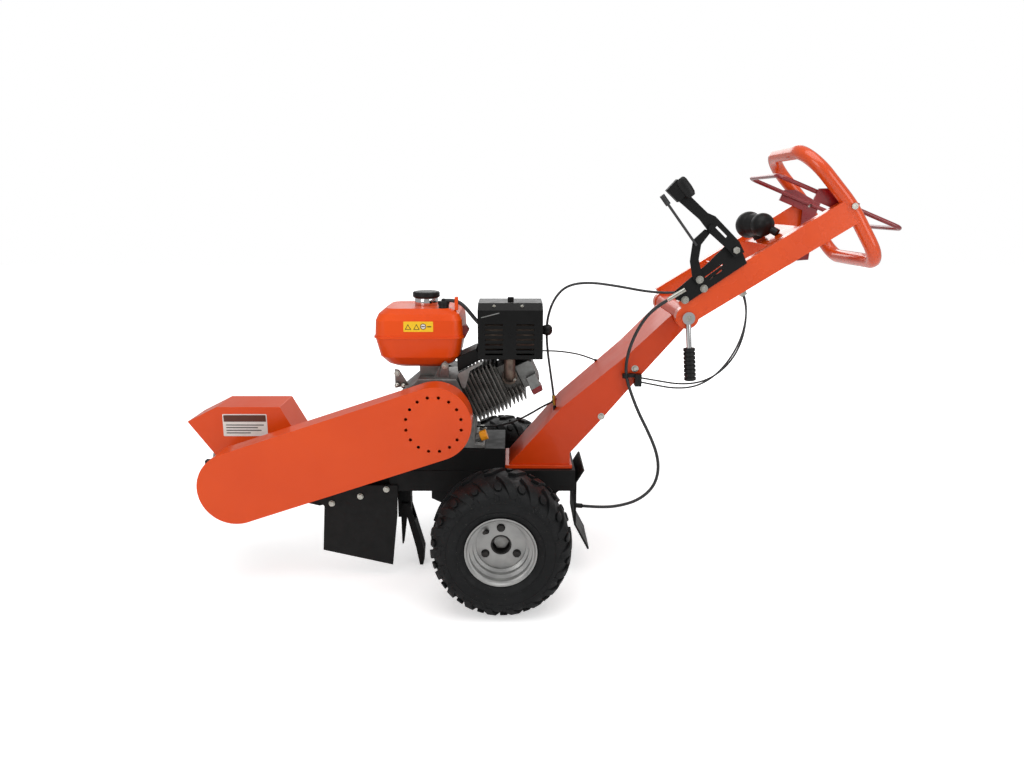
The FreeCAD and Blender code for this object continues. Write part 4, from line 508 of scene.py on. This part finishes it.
def carcass_radius(offset):
    """Radius of the tread surface at a distance from the middle plane, up to 88 mm."""
    outer = [(t, r) for r, t in CARCASS if r >= 164][::-1]
    offset = min(abs(offset), outer[-1][0])
    for (t0, r0), (t1, r1) in zip(outer, outer[1:]):
        if offset <= t1:
            return r0 + (r1 - r0) * (offset - t0) / (t1 - t0)
    return outer[-1][1]


def tread_block(bm, side, stations, height):
    """A block along stations, each (angle, width angle, radius, offset, lift share)."""
    rings = []
    for angle, width, radius, offset, lift in stations:
        slope = math.atan2(max(abs(offset) - 60, 0) * 2.2, 40)
        out = height * lift
        high_r = radius + out * math.cos(slope)
        high_t = offset + math.copysign(out * math.sin(slope), offset)
        low_r = radius - 3 * math.cos(slope)
        low_t = offset - math.copysign(3 * math.sin(slope), offset)
        rings.append([
            on_wheel(side, low_r, angle - width / 2, low_t),
            on_wheel(side, low_r, angle + width / 2, low_t),
            on_wheel(side, high_r, angle + width * 0.43, high_t),
            on_wheel(side, high_r, angle - width * 0.43, high_t),
        ])
    skin(bm, rings)


def around():
    """The angles at which the carcass has a section."""
    return [2 * math.pi * k / TURNS for k in range(TURNS)]


def side_ring(bm, side, face, radius, offset, thick):
    """A thin moulded ring on one side wall."""
    rings = []
    for angle in around():
        ring = []
        for turn in range(RING_SIDES):
            spin = 2 * math.pi * turn / RING_SIDES
            r = radius + thick * math.cos(spin)
            t = face * (offset + thick * math.sin(spin) * 0.7)
            ring.append(on_wheel(side, r, angle, t))
        rings.append(ring)
    wrap(bm, rings)


def make_carcass(label, side):
    """The body of one tyre with its moulded rings; side is -1 for the near one."""
    bm = bmesh.new()
    profile = CARCASS + [(r, -t) for r, t in CARCASS[-2::-1]] + BEAD
    wrap(bm, [[on_wheel(side, r, angle, t) for r, t in profile] for angle in around()])
    for radius, offset, thick in SIDE_RINGS:
        for face in (-1, 1):
            side_ring(bm, side, face, radius, offset, thick)
    wheel = f"wheel_{label}"
    carcass = mesh_object(f"tyre_{label}_carcass", bm, TYRE_RUBBER, wheel, angle=50)
    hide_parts(f"tyre_{label}")


def make_tread(label, side):
    """The rubber blocks of one tyre; side is -1 for the near one."""
    bm = bmesh.new()
    pitch = 2 * math.pi / PITCHES
    for k in range(PITCHES):
        for face in (-1, 1):
            start = pitch * (k + (0.25 if face > 0 else 0.75))
            # long block: from the crown round the shoulder, bent like a chevron
            stations = []
            for share, offset in ((0.0, 12), (0.35, 34), (0.62, 54), (0.82, 70)):
                lean = (0.30 - 0.55 * share) * pitch
                radius = carcass_radius(offset)
                stations.append((start + lean, pitch * (0.36 + 0.10 * share), radius, face * offset, 1.0))
            stations.append((start - 0.30 * pitch, pitch * 0.46, 169, face * 82.5, 0.62))
            stations.append((start - 0.34 * pitch, pitch * 0.34, 158, face * 90.0, 0.25))
            tread_block(bm, side, stations, 9.0)
            # short hexagon between the long ones, low on the shoulder
            middle = start + 0.42 * pitch
            short = [
                (middle, pitch * 0.16, carcass_radius(52), face * 52, 0.9),
                (middle - 0.03 * pitch, pitch * 0.34, carcass_radius(62), face * 62, 1.0),
                (middle - 0.06 * pitch, pitch * 0.34, carcass_radius(72), face * 72, 1.0),
                (middle - 0.08 * pitch, pitch * 0.18, 174, face * 79, 0.7),
            ]
            tread_block(bm, side, short, 8.0)
            # side wall lug, alternately long and short
            reach = 140 if k % 2 else 147
            lug = [
                (middle + 0.02 * pitch, pitch * 0.22, 166, face * 87, 0.5),
                (middle, pitch * 0.26, 157, face * 91.5, 0.28),
                (middle - 0.04 * pitch, pitch * 0.14, reach, face * 93.6, 0.12),
            ]
            tread_block(bm, side, lug, 7.0)
    wheel = f"wheel_{label}"
    blocks = mesh_object(f"tyre_{label}_tread", bm, TYRE_RUBBER, wheel, 1.4, 35)
    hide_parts(f"tyre_{label}")


for label, side in (("near", -1), ("far", 1)):
    make_carcass(label, side)
    make_tread(label, side)
print("tyres: 2, with", PITCHES, "pitches of blocks on each")

# %% [markdown]
# ## Painted sheet metal
# Guards, column, rails and covers are cut, folded or cast and then painted, so no edge is quite
# sharp. They could be modelled again, at the risk of another shape. Here each is a copy of its
# CAD piece with its flat faces joined and a small bevel, which catches the light at a fold.

# %% Rounded copies
SHEET_METAL = [
    ("belt_guard", "chassis", "guard_paint", GUARD_PAINT, 0.9),
    ("guard_back_plate", "chassis", "guard_paint", GUARD_PAINT, 0.9),
    ("cutter_hood", "chassis", "guard_paint", GUARD_PAINT, 1.2),
    ("cutter_arms", "chassis", "black_coat", BLACK_COAT, 1.5),
    # the column takes a darker copy of the guards' paint, as painted shade
    ("handle_column", "chassis", "frame_paint", SHADED_FRAME_PAINT, 1.5),
    ("arm_rails", "arm", "handle_paint", HANDLE_PAINT, 1.0),
    ("arm_shelf", "arm", "handle_paint", HANDLE_PAINT, 1.0),
    ("chassis_frame", "chassis", "black_coat", BLACK_COAT, 1.5),
    ("axle_carrier", "chassis", "black_coat", BLACK_COAT, 1.2),
    ("rear_step_plate", "chassis", "black_coat", BLACK_COAT, 1.5),
    ("front_stand", "chassis", "black_coat", BLACK_COAT, 1.2),
    ("prop_leg", "leg", "black_coat", BLACK_COAT, 1.2),
    ("side_flap", "chassis", "rubber", RUBBER, 1.5),
    ("brake_mount", "arm", "black_coat", BLACK_COAT, 1.0),
    ("brake_handle", "brake_lever", "black_coat", BLACK_COAT, 1.2),
    ("engine_block", "chassis", "aluminium", ALUMINIUM, 2.5),
    ("recoil_starter", "chassis", "black_coat", BLACK_ENAMEL, 1.2),
    ("air_cleaner", "chassis", "gloss_black_plastic", GLOSS_PLASTIC, 3.0),
    ("carburettor", "chassis", "aluminium", ALUMINIUM, 1.0),
    ("valve_cover", "chassis", "aluminium", ALUMINIUM, 3.0),
    ("exhaust_guard", "chassis", "black_coat", BLACK_ENAMEL, 1.1),
    ("tank_bracket", "chassis", "steel", STEEL, 1.0),
    ("oil_cap", "dipstick", "yellow_plastic", YELLOW_PLASTIC, 1.0),
    ("cable_glands", "chassis", "black_plastic", BLACK_PLASTIC, 0.5),
    ("starter_grip", "pull_start", "black_plastic", BLACK_PLASTIC, 2.5),
    ("bearing_blocks", "chassis", "cast_iron", CAST_IRON, 2.0),
    ("cutter_teeth", "cutter", "carbide", CARBIDE, 0.8),
]
for node, body, slot_name, material, bevel in SHEET_METAL:
    rounded(node, body, material, bevel)
print("rounded copies:", len(SHEET_METAL))

# %% [markdown]
# ## Pieces shown as they are
# Castings, shafts, tubes and belts have small or hidden edges. Their CAD shapes are true already,
# so they only get a finish.

# %% Pieces shown as they are
AS_THEY_ARE = [
    (RIM_PAINT, "rim_near rim_far"),
    (CAST_IRON, "wheel_hub_near wheel_hub_far drive_pulley driven_pulley crank_and_flywheel"),
    (STEEL, "axle_shaft brake_plate cutter_shaft cutter_wheel"),
    (DARK_ROD, "release_rod"),
    (RUBBER, "drive_belts"),
    (ZINC, "frame_bolts arm_bolts arm_glands"),
    # the finned cylinder and head take the darker aluminium, painted shade between the fins
    (SHADED_FIN_METAL, "cylinder cylinder_head"),
    (EXHAUST_STEEL, "exhaust"),
    (TANK_PAINT, "fuel_tank"),
    (BLACK_PLASTIC, "fuel_cap clamp_grip throttle_handgrip"),
    (HANDLE_PAINT, "handle_loop"),
    (BAIL_PAINT, "bail"),
    (CHROME, "clamp_lever"),
]
for material, names in AS_THEY_ARE:
    for name in names.split():
        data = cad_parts[name].data
        data.materials.clear()
        data.materials.append(material)
print("pieces shown as they are:", sum(len(names.split()) for _, names in AS_THEY_ARE))

# %% [markdown]
# ## Small parts and labels
# Fittings, screws and labels that sit on the CAD pieces. Labels carry only plain signs and bars.


# %% Helpers for small parts
OUTSIDE = -300  # Y in mm, clear of the machine's near side
BOLT_SEAT = 0.4  # how far a washer sinks into its seat, in mm


def spot(x, y, z):
    """A point in mm in the machine's own frame."""
    return Vector((x * MM, y * MM, z * MM))


def surface_of(node):
    """A search tree over the faces of a CAD piece."""
    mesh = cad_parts[node].data
    return BVHTree.FromPolygons([v.co for v in mesh.vertices], [p.vertices for p in mesh.polygons])


def sticker(name, tree, outline, material, lift_mm):
    """A thin label on the near side: an outline in X and Z laid on a surface."""
    middle_x = sum(x for x, _ in outline) / len(outline)
    middle_z = sum(z for _, z in outline) / len(outline)
    bm = bmesh.new()
    rings = []
    for share in (0.02, 0.25, 0.5, 0.75, 1.0):
        ring = []
        for x, z in outline:
            across = middle_x + (x - middle_x) * share
            up = middle_z + (z - middle_z) * share
            place, normal, _, _ = tree.ray_cast(spot(across, OUTSIDE, up), (0, 1, 0))
            ring.append(bm.verts.new(place + normal * (lift_mm * MM)))
        rings.append(ring)
    bm.faces.new(rings[0])
    count = len(outline)
    for inner, outer in zip(rings, rings[1:]):
        for k in range(count):
            bm.faces.new((inner[k], inner[(k + 1) % count], outer[(k + 1) % count], outer[k]))
    mesh_object(name, bm, material, "chassis", angle=60)


def panel(x0, x1, z0, z1, corner=2.0, steps=6):
    """The outline of a rectangle with rounded corners and points along its sides."""
    points = []
    corners = [
        (x1 - corner, z0 + corner, -90), (x1 - corner, z1 - corner, 0),
        (x0 + corner, z1 - corner, 90), (x0 + corner, z0 + corner, 180),
    ]
    for cx, cz, first in corners:
        for k in range(4):
            angle = math.radians(first + 30 * k)
            points.append((cx + corner * math.cos(angle), cz + corner * math.sin(angle)))
    filled = []
    for (xa, za), (xb, zb) in zip(points, points[1:] + points[:1]):
        pieces = steps if math.hypot(xb - xa, zb - za) > 8 else 1
        filled += [(xa + (xb - xa) * k / pieces, za + (zb - za) * k / pieces) for k in range(pieces)]
    return filled


def disc(x, z, radius, sides=24):
    """The outline of a circle in X and Z."""
    turns = [2 * math.pi * k / sides for k in range(sides)]
    return [(x + radius * math.cos(turn), z + radius * math.sin(turn)) for turn in turns]


def bolts(name, tree, places, size, height):
    """Hexagon heads on a near surface, at X and Z, seated along the surface's own normal."""
    bm = bmesh.new()
    for x, z in places:
        place, normal, _, _ = tree.ray_cast(spot(x, OUTSIDE, z), (0, 1, 0))
        bolt_head(bm, place - normal * (BOLT_SEAT * MM), normal, size, height)
    mesh_object(name, bm, ZINC, "chassis", 0.3)


# %% [markdown]
# ## Labels
# A printed label is a thin sheet that follows the paint under it. Each one is an outline whose
# points are dropped on the surface, and a print on it lies a little higher than the sheet.

# %% Labels
tank = surface_of("fuel_tank")
sticker("tank_label", tank, panel(-361, -277, 744, 773), YELLOW_VINYL, 0.4)
for number, x in enumerate((-348, -324)):
    sign = [(x - 9, 750), (x + 9, 750), (x, 766)]
    edge = [(x + (px - x) * 0.68, 755 + (pz - 755) * 0.68) for px, pz in sign]
    sticker(f"sign_{number}", tank, sign, BLACK_INK, 0.7)
    sticker(f"sign_field_{number}", tank, edge, YELLOW_VINYL, 1.0)
sticker("round_sign", tank, disc(-305, 759, 8.5), BROWN_INK, 0.7)
sticker("round_field", tank, disc(-305, 759, 6.4), WHITE_VINYL, 1.0)
sticker("round_bar", tank, panel(-310, -300, 757.6, 760.4, 0.6), BROWN_INK, 1.3)
sticker("plain_bar", tank, panel(-294, -282, 757, 760, 0.6), BLACK_INK, 0.7)
hood = surface_of("cutter_hood")
sticker("hood_label", hood, panel(-902, -772, 430, 497, 3), WHITE_VINYL, 0.4)
sticker("hood_header", hood, panel(-899, -775, 474, 494, 2), BROWN_INK, 0.7)
for number, (z, end) in enumerate(((464, -782), (456, -800), (448, -790), (440, -822))):
    bar = panel(-893, end, z - 1.4, z + 1.4, 0.5)
    sticker(f"hood_bar_{number}", hood, bar, BLACK_INK, 0.7)
print("labels: one on the tank and one on the hood, with plain signs and bars")

# %% [markdown]
# ## Screws and the lever's grip
# A zinc plated hexagon screw stands square to its sheet, so its place is found on the surface.

# %% Screws on the covers
bolts("guard_bolts", surface_of("exhaust_guard"), [(-105, 815), (-26, 815)], 7, 3.5)
bolts("column_bolts", surface_of("handle_column"), [(204, 496), (295, 640)], 13, 6)
bolts("flange_bolts", surface_of("exhaust"), [(-48, 599)], 10, 6)
print("screws: 2 on the muffler guard, 2 on the column, 1 on the exhaust flange")

# %% Grip on the brake lever
corners = [v.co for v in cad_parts["brake_handle"].data.vertices]
head = max(corners, key=lambda place: place.z - place.x)
down = Vector((0.62, 0, -0.785)).normalized()
bm = bmesh.new()
lathe(bm, head + Vector((0.008, 0.004, -0.002)) - down * 0.004, down,
      [(0, 9), (3, 13), (10, 15), (30, 15.5), (48, 14), (56, 10)], 20)
for vert in bm.verts:
    vert.co.y = head.y + (vert.co.y - head.y) * 0.55
mesh_object("lever_grip", bm, BLACK_PLASTIC, "brake_lever")
print("grip on the brake lever")

# %% [markdown]
# ## Fittings round the engine
# These are folded plates, hoses and moulded caps. A plate is an outline in X and Z with a depth
# along Y, so that one loop makes them all. Round fittings are turned.


# %% Turned fittings
def turned(name, parts, material, bevel=0.0, sides=32, angle=30):
    """Turned solids in one piece; parts holds (start, direction, profile)."""
    bm = bmesh.new()
    for start, along, profile in parts:
        lathe(bm, start, along, profile, sides)
    mesh_object(name, bm, material, "chassis", bevel, angle)


UP = (0, 0, 1)
VENT_STEM = [(0, 15), (14, 15), (16, 14), (18, 7), (30, 6.5), (33, 3)]
VENT_SKIRT = [(0, 17), (8, 17), (10, 15)]
vent_parts = [(spot(-250, -48, 800), UP, VENT_STEM), (spot(-250, -48, 816), UP, VENT_SKIRT)]
turned("tank_vent", vent_parts, BLACK_PLASTIC, 0.5)
NECK_RING = [(0, 33), (3, 34), (19, 34), (22, 33)]
ring_parts = [(spot(-306, 20, 805), UP, NECK_RING)]
turned("tank_neck_ring", ring_parts, CHROME, sides=40, angle=50)

# %% Plate that closes the muffler guard below, and the vent hose
bm = bmesh.new()
brick(bm, spot(-146, -60, 668), spot(28, 44, 670))
mesh_object("guard_floor", bm, BLACK_ENAMEL, "chassis", 0.5)
HOSE_ROUTE = [
    (-246, -48, 827), (-228, -50, 828), (-207, -52, 824), (-190, -54, 811), (-173, -56, 791),
    (-155, -58, 769), (-138, -58, 752),
]
HOSE_RADIUS = 5.5
bm = bmesh.new()
tube(bm, smooth_line([spot(*p) for p in HOSE_ROUTE]), HOSE_RADIUS * MM)
mesh_object("vent_hose", bm, CABLE_SHEATH, "chassis")
bm = bmesh.new()
brick(bm, spot(-218, -60, 800), spot(-208, -42, 838))
mesh_object("hose_clip", bm, TANK_PAINT, "chassis", 1.5)

# %% Plates and boxes
# name, material, slot, bevel, and plates as (Y of the near face, depth, outline)
PLATES = [
    ("tap_lever", RED_PLASTIC, None, 1.5,
     [(-62, 30, [(-202, 752), (-186, 758), (-177, 744), (-190, 720), (-202, 716)])]),
    ("cowl_bracket", ALUMINIUM, "aluminium", 0.8,
     [(-99, 4, [(-211, 622), (-141, 660), (-138, 652), (-174, 632), (-188, 581), (-197, 581)])]),
    ("cowl", BLACK_ENAMEL, "black_coat", 2.0,
     [(-66, 100, [(-213, 665), (-158, 690), (-141, 660), (-211, 622)])]),
    ("coil_box", ALUMINIUM, "aluminium", 2.0,
     [(-62, 50, [(-14, 602), (14, 618), (28, 580), (2, 564)])]),
    ("coil_cap", RED_PLASTIC, None, 2.0,
     [(-64, 54, [(1, 566), (29, 582), (36, 567), (9, 552)])]),
    ("tank_feet", STEEL, "steel", 0.8,
     [
         (-86, 6, [(-262, 593), (-261, 624), (-256, 650), (-246, 658), (-236, 650), (-234, 593)]),
         (-84, 6, [(-391, 578), (-391, 634), (-379, 632), (-352, 588)]),
         (-80, 6, [(-285, 593), (-272, 624), (-262, 640), (-262, 593)]),
     ]),
]
for name, material, slot_name, bevel, plates in PLATES:
    bm = bmesh.new()
    for near_y, depth, outline in plates:
        slab(bm, [spot(x, near_y, z) for x, z in outline], depth * MM, (0, 1, 0))
    mesh_object(name, bm, material, "chassis", bevel)
print("plates and boxes:", ", ".join(row[0] for row in PLATES))

# %% Ball and bright edge on the muffler guard
BALL = [(0, 9), (6, 13), (14, 16), (22, 16), (28, 12), (31, 6)]
turned("guard_ball", [(spot(30, -60, 744), (1, 0, 0), BALL)], BLACK_PLASTIC, sides=24)
bm = bmesh.new()
edge_outline = [(-141, 784), (-90, 797), (-90, 800), (-141, 787)]
slab(bm, [spot(x, -105, z) for x, z in edge_outline], 1.2 * MM, (0, -1, 0))
mesh_object("guard_edge", bm, ALUMINIUM, "chassis", 0.3)

# %% Screws and plugs on the engine
NEAR = (0, -1, 0)
PLUG = [(0, 7), (8, 7), (10, 5), (16, 4.5), (18, 2)]
bm = bmesh.new()
for x, z in ((-247, 643), (-384, 622)):
    bolt_head(bm, spot(x, -86, z), NEAR, 11, 5)
for x, z in ((-384, 590), (-366, 588)):
    lathe(bm, spot(x, -92, z), NEAR, PLUG, 16)
for x, z in ((-222, 357), (-181, 393)):
    bolt_head(bm, spot(x, -92, z), NEAR, 11, 5)
mesh_object("engine_screws", bm, ZINC, "chassis", 0.3)

# %% Ferrule on the throttle cable
FERRULE = [(0, 4.6), (4, 5.6), (14, 5.6), (15, 4.8), (30, 4.8)]
start, end = at(152.8, -30, 544), at(156, -30, 513)
turned("throttle_ferrule", [(start, end - start, FERRULE)], BRASS, 0.3, sides=18)

# %% [markdown]
# ## Floor and light
# A pale floor, a large soft light overhead, one at each side in front, and one behind. Soft
# lamps give the broad highlights by which paint is told from plastic.

# %% Floor, lights and world
bm = bmesh.new()
bmesh.ops.create_grid(bm, x_segments=1, y_segments=1, size=12)
floor_mesh = bpy.data.meshes.new("floor")
bm.to_mesh(floor_mesh)
bm.free()
floor = bpy.data.objects.new("floor", floor_mesh)
bpy.context.scene.collection.objects.link(floor)
STUDIO_FLOOR = finish_of("studio_floor", "#FAFAFA", "#F8F8F8", 900, (0.8, 0.9), 400, 0.01, shine=0.0)
floor_mesh.materials.append(STUDIO_FLOOR)
floor.location.z = -0.001
# the floor glows for the camera only, more so far out, so that it meets the background unseen
floor_tree = STUDIO_FLOOR.node_tree
floor_shader = floor_tree.nodes["Principled BSDF"]
floor_shader.inputs["Emission Color"].default_value = (1, 1, 1, 1)
seen = add_node(floor_tree, "ShaderNodeLightPath").outputs["Is Camera Ray"]
away = add_node(floor_tree, "ShaderNodeVectorMath", operation="LENGTH")
floor_tree.links.new(add_node(floor_tree, "ShaderNodeTexCoord").outputs["Object"], away.inputs[0])
glow = add_node(floor_tree, "ShaderNodeMath", operation="MULTIPLY")
floor_tree.links.new(seen, glow.inputs[0])
floor_tree.links.new(spread(floor_tree, away.outputs["Value"], 1.2, 3.0, 0.45, 1.0), glow.inputs[1])
floor_tree.links.new(glow.outputs[0], floor_shader.inputs["Emission Strength"])


def area_light(name, place, aim, size, power):
    """A soft rectangular lamp at a place, turned to its aim."""
    data = bpy.data.lights.new(name, "AREA")
    data.shape = "RECTANGLE"
    data.size, data.size_y = size
    data.energy = power
    lamp = bpy.data.objects.new(name, data)
    bpy.context.scene.collection.objects.link(lamp)
    lamp.location = place
    lamp.rotation_euler = (Vector(aim) - Vector(place)).to_track_quat("-Z", "Y").to_euler()


area_light("overhead", (0.2, -0.9, 3.6), (0, 0, 0.5), (3.6, 2.4), 56)
area_light("front_left", (-2.6, -3.2, 1.9), (0, 0, 0.6), (2.0, 2.0), 34)
area_light("front_right", (2.8, -2.8, 1.6), (0.2, 0, 0.6), (1.6, 2.2), 26)
area_light("behind", (0.4, 3.4, 2.2), (0, 0, 0.7), (3.0, 1.6), 26)
world = bpy.data.worlds.new("studio")
world.use_nodes = True
sky = world.node_tree.nodes["Background"]
sky.inputs["Color"].default_value = (1, 1, 1, 1)
seen = add_node(world.node_tree, "ShaderNodeLightPath").outputs["Is Camera Ray"]
brightness = spread(world.node_tree, seen, 0.0, 1.0, 0.45, 1.0)
world.node_tree.links.new(brightness, sky.inputs["Strength"])
bpy.context.scene.world = world
bpy.context.scene.view_settings.view_transform = "Standard"
print("lights:", len(bpy.data.lights))
